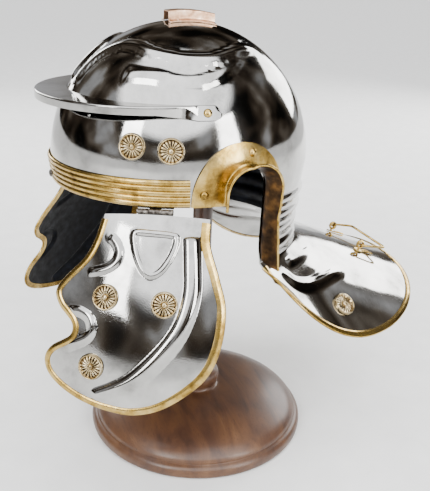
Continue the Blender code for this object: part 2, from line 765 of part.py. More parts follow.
def channel_sections(edge, inward, across, sheet, gap):
    """Sections of a channel round a sheet's edge: mid-sheet points, and directions into and across it."""
    slot = sheet / 2.0 + gap
    shell = slot + TRIM_SHEET
    sections = []
    for point, lap, face in zip(edge, inward, across):
        corners = ((TRIM_LAP, shell), (-gap - TRIM_SHEET, shell), (-gap - TRIM_SHEET, -shell),
                   (TRIM_LAP, -shell), (TRIM_LAP, -slot), (-gap, -slot), (-gap, slot), (TRIM_LAP, slot))
        sections.append([point + lap * deep + face * high for deep, high in corners])
    return sections


def make_neck_trim():
    """Brass channel round the neck guard's edge between the ear guards' feet."""
    edge, inward, across = [], [], []
    last = 2 * NECK_COLUMNS
    for column in range(1, last):
        rim = neck_both(column, 1.0)
        along = (neck_both(column + 1, 1.0) - neck_both(column - 1, 1.0)).normalized()
        inner = neck_both(column, 1.0 - 1.0 / NECK_ROWS) - rim
        face = along.cross(inner).normalized()
        if face.z < 0.0:
            face.negate()
        edge.append(rim - face * NECK_SHEET / 2.0)
        inward.append(face.cross(along))
        across.append(face)
    sections = channel_sections(edge, inward, across, NECK_SHEET, NECK_TRIM_GAP)
    finish_piece(loft("neck_trim", sections), "neck_trim", "brass")


def scaled(profile, radius, height):
    """A profile table in real lengths."""
    return [(row["radius"] * radius, row["height"] * height) for row in profile]


def make_rosette(name, point, outward):
    place = seat_matrix(point + outward * SEAT_GAP, outward)
    profile = scaled(ROSETTE_PROFILE, ROSETTE_RADIUS, ROSETTE_HEIGHT)
    return turned(name, profile, ROSETTE_SIDES, "brass", place)


def make_rivet(name, point, outward, look="brass"):
    place = seat_matrix(point + outward * SEAT_GAP, outward)
    return turned(name, scaled(RIVET_PROFILE, RIVET_RADIUS, RIVET_HEIGHT), RIVET_SIDES, look, place)


def make_fastenings():
    """Rosettes and rivets of the bowl, visor, band, ear guards and neck guard."""
    for label, side in SIDES:
        for row in BOWL_ROSETTES:
            point = bowl_point(bowl_angle(row["y"], row["height"]), row["height"])
            make_rosette(f"bowl_rosette_{row['name']}_{label}", mirrored(point, side),
                         mirrored(bowl_normal(point), side))
        point = neck_point(NECK_ROSETTE["round"], NECK_ROSETTE["out"])
        upward = neck_normal(NECK_ROSETTE["round"], NECK_ROSETTE["out"])
        make_rosette(f"neck_rosette_{label}", mirrored(point + upward * NECK_ROSETTE_LIFT, side),
                     mirrored(upward, side))
        for row in EAR_RIVETS:
            angle = bowl_angle(row["y"], row["height"])
            point = bowl_point(angle, row["height"], EAR_SEAT_GAP + EAR_PLATE_SHEET)
            make_rivet(f"ear_rivet_{row['name']}_{label}", mirrored(point, side),
                       mirrored(bowl_normal(point), side))
        angle = VISOR_HALF_SWEEP - VISOR_RIVET_INSET / BOWL_HALF_WIDTH
        height = VISOR_HEIGHT - VISOR_TAB_DEPTH / 2.0
        out = 2.0 * SEAT_GAP + VISOR_SHEET
        point = bowl_point(angle, height, out)
        make_rivet(f"visor_rivet_{label}", mirrored(point, side), mirrored(bowl_normal(point), side))
    height = RIM_HEIGHT + SEAT_GAP + BAND_HEIGHT * BROW_STUD_SHARE
    point = bowl_point(0.0, height, SEAT_GAP + BAND_SHEET + BAND_RIB_RELIEF)
    make_rivet("brow_stud", point, Vector((0.0, -1.0, 0.0)), "iron")


def make_crest_holder():
    """Channel along the crown with a flange on each side that follows the bowl."""
    sections = []
    inner, outer = CREST_CHANNEL_HALF_WIDTH - CREST_SHEET, CREST_CHANNEL_HALF_WIDTH
    wide = CREST_FLANGE_HALF_WIDTH

    def crown_height(x, y):
        left = 1.0 - (x / BOWL_HALF_WIDTH) ** 2 - ((y - BOWL_CENTRE_Y) / BOWL_HALF_LENGTH) ** 2
        return WAIST_HEIGHT + BOWL_RISE * math.sqrt(max(0.0, left))

    for i in range(CREST_STATIONS):
        y = CREST_CENTRE_Y + CREST_LENGTH * (i / (CREST_STATIONS - 1) - 0.5)
        top = crown_height(0.0, y) + CREST_HEIGHT

        def at(x, height):
            return Vector((x, y, height))

        def seat(x):
            return crown_height(x, y) + SEAT_GAP

        sheet = CREST_SHEET
        sections.append([
            at(-wide, seat(wide)), at(-inner, seat(inner)),
            at(-inner, top - sheet), at(inner, top - sheet),
            at(inner, seat(inner)), at(wide, seat(wide)),
            at(wide, seat(wide) + sheet), at(outer, seat(outer) + sheet),
            at(outer, top), at(-outer, top),
            at(-outer, seat(outer) + sheet), at(-wide, seat(wide) + sheet),
        ])
    finish_piece(loft("crest_holder", sections), "crest_holder", "copper")


def make_handle():
    """Wire bail in two eyelets; its frame is an empty on the pivot line."""
    foot, slope = neck_over(HANDLE_HALF_SPAN, HANDLE_FOOT_Y)
    foot += slope * LUG_SEAT_GAP
    eye = foot + slope * HANDLE_PIVOT_RISE
    pivot = bpy.data.objects.new("handle_pivot", None)
    pivot.location = (0.0, eye.y, eye.z)
    parts.objects.link(pivot)

    pin = eye.x - LUG_RING_RADIUS
    rail_half = eye.x + LUG_WIRE_RADIUS + RUNNING_GAP + HANDLE_BEND
    route = [(-pin, 0.0), (-rail_half + HANDLE_BEND, 0.0), (-rail_half, HANDLE_BEND),
             (-rail_half, HANDLE_REACH - HANDLE_BEND), (-rail_half + HANDLE_BEND, HANDLE_REACH)]
    route += [(-x, y) for x, y in reversed(route)]
    curve = bpy.data.curves.new("handle", "CURVE")
    curve.dimensions = "3D"
    curve.bevel_depth = HANDLE_WIRE_RADIUS
    curve.bevel_resolution = 2
    curve.use_fill_caps = True
    spline = curve.splines.new("POLY")
    spline.points.add(len(route) - 1)
    drop = math.tan(HANDLE_REST_DROP)
    for point, (x, y) in zip(spline.points, route):
        point.co = (x, y, -y * drop, 1.0)
    wire = bpy.data.objects.new("handle_wire", curve)
    parts.objects.link(wire)
    bpy.context.view_layer.update()
    mesh = evaluated_mesh(wire)
    bpy.data.objects.remove(wire)
    handle = finish_piece(mesh, "handle", "brass")
    handle.parent = pivot

    for label, side in SIDES:
        centre = mirrored(eye, side)
        ring = []
        for i in range(LUG_SIDES):
            turn = 2.0 * math.pi * i / LUG_SIDES
            spoke = Vector((0.0, math.cos(turn), math.sin(turn)))
            section = []
            for j in range(LUG_WIRE_SIDES):
                roll = 2.0 * math.pi * j / LUG_WIRE_SIDES
                radius = LUG_RING_RADIUS + LUG_WIRE_RADIUS * math.cos(roll)
                across = Vector((LUG_WIRE_RADIUS * math.sin(roll), 0.0, 0.0))
                section.append(centre + spoke * radius + across)
            ring.append(section)
        lug = finish_piece(loft(f"handle_lug_{label}", ring, closed=True), f"handle_lug_{label}", "brass")
        base = mirrored(foot, side)
        height = (centre - base).length - LUG_RING_RADIUS
        shank = [(0.0, height), (LUG_WIRE_RADIUS, height), (LUG_WIRE_RADIUS, LUG_FOOT_SHEET),
                 (LUG_FOOT_RADIUS, LUG_FOOT_SHEET), (LUG_FOOT_RADIUS, 0.0), (0.0, 0.0)]
        shank_piece = turned(f"lug_shank_{label}", shank, RIVET_SIDES, "brass",
                             seat_matrix(base, (centre - base).normalized()))
        bpy.context.view_layer.update()
        shank_mesh = evaluated_mesh(shank_piece)
        bpy.data.objects.remove(shank_piece)
        combine(lug, cutter_from(shank_mesh, f"lug_shank_{label}"), "UNION")


def neck_normal(share, out):
    """Upward normal of the neck guard's left half."""
    step = SLOPE_SHARE
    along = neck_plain(share + step, out) - neck_plain(share - step, out)
    outer = neck_plain(share, out + step) - neck_plain(share, out - step)
    normal = outer.cross(along).normalized()
    return -normal if normal.z < 0.0 else normal


def neck_over(x, y):
    """Point and upward normal of the neck guard over a spot on its left half, found step by step."""
    share, out, step = 0.5, 0.5, SLOPE_SHARE / 10.0
    for _ in range(SEARCH_STEPS):
        here = neck_plain(share, out)
        by_share = (neck_plain(share + step, out) - here) / step
        by_out = (neck_plain(share, out + step) - here) / step
        miss_x, miss_y = x - here.x, y - here.y
        scale = by_share.x * by_out.y - by_out.x * by_share.y
        share += (miss_x * by_out.y - by_out.x * miss_y) / scale
        out += (by_share.x * miss_y - miss_x * by_share.y) / scale
        share = max(step, min(1.0 - step, share))
    return neck_point(share, out), neck_normal(share, out)


def hinge_frame(side):
    """Middle of a cheek guard's hinge line, its forward direction and its level outward direction."""
    angle = bowl_angle(HINGE_Y, RIM_HEIGHT)
    middle = bowl_point(angle, RIM_HEIGHT, HINGE_OUT)
    middle.z -= HINGE_DROP
    half_width, half_length = bowl_section(RIM_HEIGHT)
    forward = Vector((-half_width * math.cos(angle), -half_length * math.sin(angle), 0.0)).normalized()
    outward = Vector((-forward.y, forward.x, 0.0))
    return mirrored(middle, side), mirrored(forward, side), mirrored(outward, side)


def guard_relief(forward, down, outline):
    """Height of the embossed ridges at a spot of the flat outline."""
    flat = Vector((forward, down))
    tall = 0.0
    for rows in (GUARD_RIDGE, GUARD_EYE_RIDGE, GUARD_MOUTH_RIDGE):
        line = [Vector((row["forward"] * GUARD_WIDTH, row["down"] * GUARD_LENGTH)) for row in rows]
        tall = max(tall, ridge_height(line_distance(flat, line), GUARD_RIDGE_HALF_WIDTH, GUARD_RELIEF))
    from_edge = line_distance(flat, outline) - TRIM_LAP - SEAT_GAP
    return tall * max(0.0, min(1.0, from_edge / GUARD_RIDGE_HALF_WIDTH))


def guard_surface(forward, down, out=0.0):
    """A point of the dished guard in its hinge frame: forward, down and outward from the hinge line."""
    bow = forward ** 2 / (2.0 * GUARD_RADIUS_ACROSS) + down ** 2 / (2.0 * GUARD_RADIUS_DOWN)
    return Vector((forward, GUARD_TOP_GAP + down, out - bow))


def guard_place(point, side, swing):
    """Turn a hinge-frame point into a place on the hinge line with the guard swung outward."""
    middle, forward, outward = hinge_frame(side)
    down = Vector((0.0, 0.0, -1.0))
    hang = down * math.cos(swing) + outward * math.sin(swing)
    face = outward * math.cos(swing) - down * math.sin(swing)
    return middle + forward * point.x + hang * point.y + face * point.z


def guard_outline():
    """The guard's flat outline in real lengths."""
    line = smooth_line(GUARD_OUTLINE, ("forward", "down"), GUARD_CURVE_STEPS)
    return [Vector((point.x * GUARD_WIDTH, point.y * GUARD_LENGTH)) for point in line]


def guard_empty(label, side):
    """Empty on the hinge line that carries a cheek guard and all that is on it."""
    pivot = bpy.data.objects.new(f"cheek_pivot_{label}", None)
    pivot.location = hinge_frame(side)[0]
    parts.objects.link(pivot)
    return pivot


def hang_on(piece, pivot):
    """Parent a piece to its pivot without moving it."""
    piece.parent = pivot
    piece.matrix_parent_inverse = Matrix.Translation(-pivot.location)


def make_guard_plate(label, side, swing, pivot):
    bm = bmesh.new()
    outline = guard_outline()
    bm.faces.new([bm.verts.new((point.x, point.y, 0.0)) for point in outline])
    for axis, reach in (((1.0, 0.0, 0.0), GUARD_WIDTH), ((0.0, 1.0, 0.0), GUARD_LENGTH)):
        cells = int(reach / GUARD_CELL)
        for i in range(-cells, cells + 1):
            cut = Vector(axis) * (i + 0.5) * GUARD_CELL
            bmesh.ops.bisect_plane(bm, geom=bm.verts[:] + bm.edges[:] + bm.faces[:], dist=0.00005,
                                   plane_co=cut, plane_no=axis)
    for vert in bm.verts:
        relief = guard_relief(vert.co.x, vert.co.y, outline)
        vert.co = guard_place(guard_surface(vert.co.x, vert.co.y, relief), side, swing)
    mesh = mesh_from(bm, f"cheek_guard_{label}")
    if mesh.polygons[0].normal.x * side < 0.0:
        mesh.flip_normals()
    plate = finish_piece(mesh, f"cheek_guard_{label}", "steel")
    sheet = plate.modifiers.new("sheet", "SOLIDIFY")
    sheet.thickness = GUARD_SHEET
    sheet.offset = -1.0
    hang_on(plate, pivot)


def make_guard_trim(label, side, swing, pivot):
    """Brass channel round the guard's edge, open along the top."""
    line = guard_outline()[1:-1]
    edge, inward, across = [], [], []
    for i, flat in enumerate(line):
        before, after = line[max(0, i - 1)], line[min(len(line) - 1, i + 1)]
        along = (after - before).normalized()
        lap_flat = Vector((-along.y, along.x))
        here = guard_place(guard_surface(*flat), side, swing)
        near = guard_place(guard_surface(*(flat + lap_flat * TRIM_LAP)), side, swing)
        beside = guard_place(guard_surface(*(flat + along * TRIM_LAP)), side, swing) - here
        lap = (near - here).normalized()
        face = lap.cross(beside).normalized()
        if face.x * side < 0.0:
            face.negate()
        edge.append(here - face * GUARD_SHEET / 2.0)
        inward.append(lap)
        across.append(face)
    sections = channel_sections(edge, inward, across, GUARD_SHEET, TRIM_GAP)
    trim = finish_piece(loft(f"cheek_trim_{label}", sections), f"cheek_trim_{label}", "brass")
    hang_on(trim, pivot)


def knuckle_mesh(name, middle, forward, start, end, radius):
    """A cylinder along the hinge line between two distances from its middle."""
    level = forward.cross(Vector((0.0, 0.0, 1.0)))
    rings = []
    for along in (start, end):
        ring = []
        for i in range(KNUCKLE_SIDES):
            turn = 2.0 * math.pi * i / KNUCKLE_SIDES
            spoke = level * math.cos(turn) + Vector((0.0, 0.0, math.sin(turn)))
            ring.append(middle + forward * along + spoke * radius)
        rings.append(ring)
    return loft(name, rings)


def bar_mesh(name, origin, forward, hang, face, along, reach, high):
    """A box in a hinge frame between pairs of distances along, down and outward."""
    ends = []
    for a in along:
        corners = ((reach[0], high[0]), (reach[1], high[0]), (reach[1], high[1]), (reach[0], high[1]))
        ends.append([origin + forward * a + hang * r + face * h for r, h in corners])
    return loft(name, ends)


def make_hinge(label, side, swing, pivot):
    """Fixed leaf inside the rim with its middle knuckle and pin, and the guard's leaf with two knuckles."""
    middle, forward, outward = hinge_frame(side)
    up = Vector((0.0, 0.0, 1.0))
    sixth, half = HINGE_LENGTH / 6.0, HINGE_LENGTH / 2.0
    wall = -(HINGE_OUT + BOWL_SHEET + HINGE_WALL_GAP)
    leaf = (wall - HINGE_LEAF_SHEET, wall)
    rise = (HINGE_PIN_RADIUS, HINGE_PIN_RADIUS + HINGE_LEAF_SHEET)

    name = f"hinge_leaf_{label}"
    plate = bar_mesh(name, middle, forward, up, outward, (-half, half), (rise[0], HINGE_LEAF_LENGTH), leaf)
    fixed = finish_piece(plate, name, "iron")
    joined = {
        "bridge": bar_mesh("bridge", middle, forward, up, outward, (-sixth, sixth), rise,
                           (wall - HINGE_LEAF_SHEET / 2.0, 0.0)),
        "barrel": knuckle_mesh("barrel", middle, forward, -sixth, sixth, HINGE_KNUCKLE_RADIUS),
        "pin": knuckle_mesh("pin", middle, forward, -half, half, HINGE_PIN_RADIUS),
    }
    for added, mesh in joined.items():
        combine(fixed, cutter_from(mesh, f"{added}_{label}"), "UNION")

    down = up * -1.0
    hang = down * math.cos(swing) + outward * math.sin(swing)
    face = outward * math.cos(swing) - down * math.sin(swing)
    back = -(GUARD_SHEET + HINGE_GUARD_GAP)
    flat = (back - HINGE_LEAF_SHEET, back)
    start = HINGE_PIN_RADIUS / 2.0
    length = half - RUNNING_GAP
    name = f"cheek_leaf_{label}"
    plate = bar_mesh(name, middle, forward, hang, face, (-length, length), (start, HINGE_LEAF_LENGTH), flat)
    moving = finish_piece(plate, name, "iron")
    reach = (start + HINGE_LEAF_SHEET / 4.0, GUARD_TOP_GAP - RUNNING_GAP)
    high = (flat[0] + HINGE_LEAF_SHEET / 4.0, -HINGE_KNUCKLE_RADIUS / 2.0)
    for added, near, far in (("front", sixth + RUNNING_GAP, half), ("back", -half, -sixth - RUNNING_GAP)):
        ends = (near + 2.0 * RUNNING_GAP, far - 2.0 * RUNNING_GAP)
        tab = bar_mesh("tab", middle, forward, hang, face, ends, reach, high)
        combine(moving, cutter_from(tab, f"tab_{added}_{label}"), "UNION")
        barrel = knuckle_mesh("barrel", middle, forward, near, far, HINGE_KNUCKLE_RADIUS)
        combine(moving, cutter_from(barrel, f"barrel_{added}_{label}"), "UNION")
    bore = knuckle_mesh("bore", middle, forward, -HINGE_LENGTH, HINGE_LENGTH, HINGE_PIN_RADIUS + RUNNING_GAP)
    combine(moving, cutter_from(bore, f"bore_{label}"), "DIFFERENCE")
    hang_on(moving, pivot)


def make_guard_rosettes(label, side, swing, pivot):
    for row in GUARD_ROSETTES:
        forward, down = row["forward"] * GUARD_WIDTH, row["down"] * GUARD_LENGTH
        here = guard_place(guard_surface(forward, down), side, swing)
        ahead = guard_place(guard_surface(forward + SLOPE_SHARE * GUARD_WIDTH, down), side, swing) - here
        below = guard_place(guard_surface(forward, down + SLOPE_SHARE * GUARD_LENGTH), side, swing) - here
        face = ahead.cross(below).normalized()
        if face.x * side < 0.0:
            face.negate()
        name = f"cheek_rosette_{row['name']}_{label}"
        rosette = make_rosette(name, here + face * GUARD_ROSETTE_LIFT, face)
        bpy.context.view_layer.update()
        rosette.parent = pivot
        rosette.matrix_parent_inverse = Matrix.Translation(-pivot.location)


def make_cheek_guard(label, side, swing):
    pivot = guard_empty(label, side)
    make_guard_plate(label, side, swing, pivot)
    make_guard_trim(label, side, swing, pivot)
    make_hinge(label, side, swing, pivot)
    make_guard_rosettes(label, side, swing, pivot)


def make_stand():
    """Turned foot, column and rounded head that carries the crown."""
    neck = STAND_COLUMN_RADIUS
    profile = scaled(STAND_FOOT_PROFILE, STAND_RADIUS, STAND_DOME_HEIGHT)
    profile += scaled(STAND_RING_PROFILE, STAND_RING_RADIUS, STAND_RING_HEIGHT)
    profile.append((neck, STAND_RING_HEIGHT + STAND_RING_RADIUS - neck / 2.0))
    inner_width, inner_length = BOWL_HALF_WIDTH - BOWL_SHEET, BOWL_HALF_LENGTH - BOWL_SHEET
    inner_rise = BOWL_RISE - BOWL_SHEET - STAND_HEAD_FACET_GAP
    head = []
    for i in range(STAND_HEAD_RINGS + 1):
        turn = math.radians(90.0) * i / STAND_HEAD_RINGS
        head.append((STAND_HEAD_RADIUS * math.cos(turn), STAND_HEAD_RISE * math.sin(turn)))
    lift = math.inf
    for radius, height in head:
        for i in range(STAND_SIDES):
            turn = 2.0 * math.pi * i / STAND_SIDES
            x, y = radius * math.cos(turn), radius * math.sin(turn) - BOWL_CENTRE_Y
            left = 1.0 - (x / inner_width) ** 2 - (y / inner_length) ** 2
            lift = min(lift, WAIST_HEIGHT + inner_rise * math.sqrt(left) - height - SEAT_GAP)
    profile.append((neck, lift - STAND_HEAD_TAPER))
    profile += [(radius, lift + height) for radius, height in head]
    profile.reverse()
    profile[0] = (0.0, profile[0][1])
    profile.append((0.0, 0.0))
    turned("stand", profile, STAND_SIDES, "wood")


clear_scene()
parts = make_collection("roman_legionary_helmet")
cutters = make_collection("cutters")
make_bowl()
make_neck_guard()
make_neck_trim()
make_band()
make_visor()
for side_label, side_sign in SIDES:
    make_ear_guard(f"ear_guard_{side_label}", side_sign)
make_fastenings()
make_crest_holder()
make_handle()
make_cheek_guard("left", 1, GUARD_REST_SWING_LEFT)
make_cheek_guard("right", -1, GUARD_REST_SWING_RIGHT)
make_stand()
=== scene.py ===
# %% [markdown]
# # A Roman legionary helmet on a wooden stand
#
# This lesson dresses a finished, measured model of the helmet. The measured solids come first, as a
# fixed frame in metres: the stand's foot is at height zero on the Z axis, the visor looks along -Y and
# the wearer's left is +X. Each fine piece below is laid exactly where the frame has its plain one.

# %% Load the frame
import json
import math
import bpy
from mathutils import Matrix, Vector


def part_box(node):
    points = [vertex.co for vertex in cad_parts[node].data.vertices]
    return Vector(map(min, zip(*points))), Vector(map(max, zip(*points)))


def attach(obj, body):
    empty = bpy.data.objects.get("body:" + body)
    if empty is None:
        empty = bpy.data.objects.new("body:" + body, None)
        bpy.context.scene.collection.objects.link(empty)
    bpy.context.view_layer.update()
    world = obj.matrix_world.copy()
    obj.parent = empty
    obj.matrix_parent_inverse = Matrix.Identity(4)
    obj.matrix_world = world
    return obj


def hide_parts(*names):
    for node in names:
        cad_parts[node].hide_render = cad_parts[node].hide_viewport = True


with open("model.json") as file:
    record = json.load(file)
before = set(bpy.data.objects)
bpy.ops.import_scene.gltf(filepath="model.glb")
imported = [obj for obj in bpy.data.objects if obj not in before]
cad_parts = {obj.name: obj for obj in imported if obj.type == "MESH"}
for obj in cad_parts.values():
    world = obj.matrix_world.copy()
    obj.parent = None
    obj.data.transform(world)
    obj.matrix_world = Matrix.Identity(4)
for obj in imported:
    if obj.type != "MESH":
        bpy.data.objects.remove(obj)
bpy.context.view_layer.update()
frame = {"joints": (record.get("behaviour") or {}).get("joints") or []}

# %% [markdown]
# ## Small helpers
#
# An operator acts on everything that is selected, so one helper clears the choice and picks one piece.
# Most of this helmet is sheet metal. A smith starts from a flat blank and forms it, and so do we: a
# flat grid is added, and each of its points is laid on the finished surface by a rule.

# %% Picking and forming helpers
def pick(piece):
    """Select this piece alone and make it the active one."""
    bpy.ops.object.select_all(action="DESELECT")
    piece.select_set(True)
    bpy.context.view_layer.objects.active = piece


def formed_sheet(name, columns, rows, place):
    """A flat grid laid on place(across, down), where both run from 0 to 1."""
    bpy.ops.object.select_all(action="DESELECT")
    bpy.ops.mesh.primitive_grid_add(x_subdivisions=columns, y_subdivisions=rows, size=1.0)
    piece = bpy.context.object
    piece.name = name
    piece.data.name = name
    for vert in piece.data.vertices:
        vert.co = place(vert.co.x + 0.5, vert.co.y + 0.5)
    return piece


def weld(piece, distance=0.00002):
    """Merge the points that a wrapped grid brings together at its seam and poles."""
    pick(piece)
    bpy.ops.object.mode_set(mode="EDIT")
    bpy.ops.mesh.select_all(action="SELECT")
    bpy.ops.mesh.remove_doubles(threshold=distance)
    bpy.ops.mesh.dissolve_degenerate(threshold=0.000001)
    bpy.ops.object.mode_set(mode="OBJECT")


def face_towards(piece, index, direction):
    """Turn all faces over if the one at this index looks away from the direction."""
    if piece.data.polygons[index].normal.dot(direction) < 0.0:
        pick(piece)
        bpy.ops.object.mode_set(mode="EDIT")
        bpy.ops.mesh.select_all(action="SELECT")
        bpy.ops.mesh.flip_normals()
        bpy.ops.object.mode_set(mode="OBJECT")


def thicken(piece, thickness, inner_slot=0, rim_slot=0):
    """Give a formed sheet its thickness below the face it shows."""
    pick(piece)
    sheet = piece.modifiers.new("sheet", "SOLIDIFY")
    sheet.thickness = thickness
    sheet.offset = -1.0
    sheet.material_offset = inner_slot
    sheet.material_offset_rim = rim_slot
    bpy.ops.object.modifier_apply(modifier="sheet")


def smooth(piece, degrees=40.0):
    pick(piece)
    bpy.ops.object.shade_smooth_by_angle(angle=math.radians(degrees))


def outwards(piece):
    """Make the faces of a closed piece point outwards."""
    pick(piece)
    bpy.ops.object.mode_set(mode="EDIT")
    bpy.ops.mesh.select_all(action="SELECT")
    bpy.ops.mesh.normals_make_consistent(inside=False)
    bpy.ops.object.mode_set(mode="OBJECT")


def dress(piece, *finishes):
    """Put one or more finishes on a piece, the first on its shown face."""
    piece.data.materials.clear()
    for finish in finishes:
        piece.data.materials.append(finish)


def done(piece, body, slot, *nodes):
    """Let a finished piece ride on its body and stand in for the plain solids it replaces."""
    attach(piece, body)
    if nodes:
        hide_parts(*nodes)
    print(piece.name, len(piece.data.polygons), "faces on", body)


def mirrored(point, side):
    return Vector((point.x * side, point.y, point.z))


def spoke(turn, radius, height):
    """Place at a turn round the Z axis."""
    return Vector((radius * math.cos(turn), radius * math.sin(turn), height))


def swept(start, corner, end, share):
    """Place on a curve that leaves the start and reaches the end along lines to the corner."""
    return start * (1.0 - share) ** 2 + corner * (2.0 * share * (1.0 - share)) + end * share ** 2


SIDES = (("left", 1), ("right", -1))
print("helpers ready")

# %% [markdown]
# ## Finishes
#
# Colours are written as sRGB hex values, as a paint card gives them, and one function turns them into
# the linear values that the shader needs. One more function adds a node with its settings and links.

# %% Colour and node helpers
def linear(code, strength=1.0):
    """Linear colour of an sRGB hex value."""
    channels = []
    for i in (1, 3, 5):
        value = int(code[i:i + 2], 16) / 255.0
        channels.append(strength * (value / 12.92 if value <= 0.04045 else ((value + 0.055) / 1.055) ** 2.4))
    return (*channels, 1.0)


def node(tree, kind, settings=None, links=None, values=None):
    """Add a node: settings are its properties, values its sockets' numbers, links what feeds them."""
    made = tree.nodes.new(kind)
    for key, value in (settings or {}).items():
        setattr(made, key, value)
    for key, value in (values or {}).items():
        made.inputs[key].default_value = value
    for key, source in (links or {}).items():
        tree.links.new(source, made.inputs[key])
    return made


def new_finish(name, **shader_values):
    """A material with its shader's steady values set, and its object coordinates."""
    finish = bpy.data.materials.new(name)
    finish.use_nodes = True
    tree = finish.node_tree
    shader = tree.nodes["Principled BSDF"]
    for key, value in shader_values.items():
        shader.inputs[key.replace("_", " ")].default_value = value
    place = node(tree, "ShaderNodeTexCoord")
    return finish, tree, shader, place.outputs["Object"]


def noise(tree, place, scale, detail, roughness=0.5, distortion=0.0):
    """Cloudy greys; the scale is in clouds for each metre."""
    made = node(tree, "ShaderNodeTexNoise", links={"Vector": place},
                values={"Scale": scale, "Detail": detail, "Roughness": roughness, "Distortion": distortion})
    return made.outputs["Fac"]


def drawn_out(tree, place, scale, turn=(0.0, 0.0, 0.0)):
    """Coordinates in which a pattern is drawn out where the scale is small."""
    return node(tree, "ShaderNodeMapping", links={"Vector": place},
                values={"Scale": scale, "Rotation": turn}).outputs["Vector"]


def spread(tree, grey, low, high, to_low, to_high):
    """Spread the greys from low to high over another range."""
    made = node(tree, "ShaderNodeMapRange", links={"Value": grey},
                values={"From Min": low, "From Max": high, "To Min": to_low, "To Max": to_high})
    return made.outputs["Result"]


def bump(tree, height, strength, distance, **more):
    """Surface direction bent by a pattern of heights."""
    made = node(tree, "ShaderNodeBump", links={"Height": height, **more},
                values={"Strength": strength, "Distance": distance})
    return made.outputs["Normal"]


def ramp(tree, grey, *stops):
    """Colours from greys: each stop is a grey and its sRGB hex value."""
    made = node(tree, "ShaderNodeValToRGB", links={"Fac": grey})
    band = made.color_ramp
    while len(band.elements) < len(stops):
        band.elements.new(0.5)
    for element, (position, code) in zip(band.elements, stops):
        element.position = position
        element.color = linear(code)
    return made.outputs["Color"]


def feed(tree, shader, **sources):
    """Link patterns to the shader's sockets."""
    for key, source in sources.items():
        tree.links.new(source, shader.inputs[key.replace("_", " ")])


print("linear mid grey:", [round(v, 3) for v in linear("#808080")[:3]])

# %% [markdown]
# ** Polished steel.** The bowl, visor, cheek guards and neck guard are mild steel, raised over a stake
# and buffed to a mirror. Buffing leaves fine hair scratches about 0.3 mm apart, drawn 1 mm apart here
# so that they show, and the hand-raised sheet keeps soft hollows 30 to 60 mm wide that bend what it
# mirrors. One cloudy pattern feeds both the colour and the roughness. In the roughness it makes the
# slightly duller patches that damp fingers leave. In the colour, its darker patches are painted
# reflection: they stand for dark surroundings mirrored in the steel.

# %% Polished steel
steel, tree, shader, place = new_finish("mirror_polished_mild_steel", Metallic=1.0)
# This cloudy pattern makes duller patches in the roughness, and in the colour its darker patches are painted
# reflection of dark surroundings.
smudge_and_painted_reflection = noise(tree, place, 26.0, 5.0, 0.62)
hair = noise(tree, drawn_out(tree, place, (60.0, 900.0, 900.0)), 1.0, 3.0)
hollows = bump(tree, noise(tree, place, 22.0, 1.0), 0.35, 0.0022)
# The darker greys of this colour ramp are painted reflection; the roughness from the same pattern gives real
# duller patches.
feed(tree, shader,
     Base_Color=ramp(tree, smudge_and_painted_reflection, (0.30, "#7E7D7A"), (0.48, "#A9A8A5"), (0.70, "#BFBEBB")),
     Roughness=spread(tree, smudge_and_painted_reflection, 0.30, 0.75, 0.11, 0.04),
     Normal=bump(tree, hair, 0.06, 0.0003, Normal=hollows))
print("made", steel.name)

# %% [markdown]
# **Brass.** Bands, ear guards, edge trims and the handle are brass, pressed or drawn and then buffed. It
# is warmer and softer than the steel, with a slightly duller shine and brown tarnish in patches about
# 10 mm wide. Tarnish is darker and duller at once, so here too one pattern feeds both.

# %% Buffed brass
brass, tree, shader, place = new_finish("buffed_sheet_brass", Metallic=1.0)
tarnish = noise(tree, place, 75.0, 6.0, 0.6)
feed(tree, shader,
     Base_Color=ramp(tree, tarnish, (0.32, "#6E5526"), (0.47, "#A98B47"), (0.66, "#CBB070")),
     Roughness=spread(tree, tarnish, 0.30, 0.70, 0.34, 0.16),
     Normal=bump(tree, noise(tree, place, 110.0, 2.0), 0.25, 0.0006))
print("made", brass.name)

# %% [markdown]
# **Pale brass.** The rosettes are pressings of a paler brass with less copper. Handling has buffed their
# rims and petals smooth, so they shine a little more than the bands and carry less tarnish.

# %% Pale brass
pale, tree, shader, place = new_finish("pale_pressed_brass", Metallic=1.0)
tarnish = noise(tree, place, 160.0, 5.0, 0.6)
feed(tree, shader,
     Base_Color=ramp(tree, tarnish, (0.30, "#6F5F45"), (0.46, "#A8956F"), (0.64, "#D3C3A0")),
     Roughness=spread(tree, tarnish, 0.30, 0.70, 0.30, 0.13))
print("made", pale.name)

# %% [markdown]
# **Unpolished brass.** Where the buffing wheel can't reach, inside the ear flanges and down in the
# petals of the rosettes, the brass keeps its brown oxide. It is dull and much darker.

# %% Brown brass
umber, tree, shader, place = new_finish("brown_oxidised_brass", Metallic=0.9)
oxide = noise(tree, place, 120.0, 5.0)
feed(tree, shader,
     Base_Color=ramp(tree, oxide, (0.32, "#21160C"), (0.50, "#3D2B18"), (0.70, "#6B4B27")),
     Roughness=spread(tree, oxide, 0.30, 0.70, 0.55, 0.38))
print("made", umber.name)

# %% [markdown]
# **Tarnished brass.** The crest holder is brass that has gone coppery and dull from handling. Its
# tarnish is finer than that of the bands, in pinker browns, and its face is rougher.

# %% Coppery brass
copper, tree, shader, place = new_finish("tarnished_coppery_brass", Metallic=1.0)
tarnish = noise(tree, place, 130.0, 6.0, 0.6)
feed(tree, shader,
     Base_Color=ramp(tree, tarnish, (0.30, "#8C6448"), (0.47, "#CBA180"), (0.66, "#E9CBB0")),
     Roughness=spread(tree, tarnish, 0.30, 0.70, 0.45, 0.24),
     Normal=bump(tree, tarnish, 0.2, 0.0004))
print("made", copper.name)

# %% [markdown]
# **Blackened steel.** Inside, the sheet isn't polished: it keeps a blue-black heat scale under a film
# of oil. It is a dark, half-dull metal with mottling a few millimetres wide.

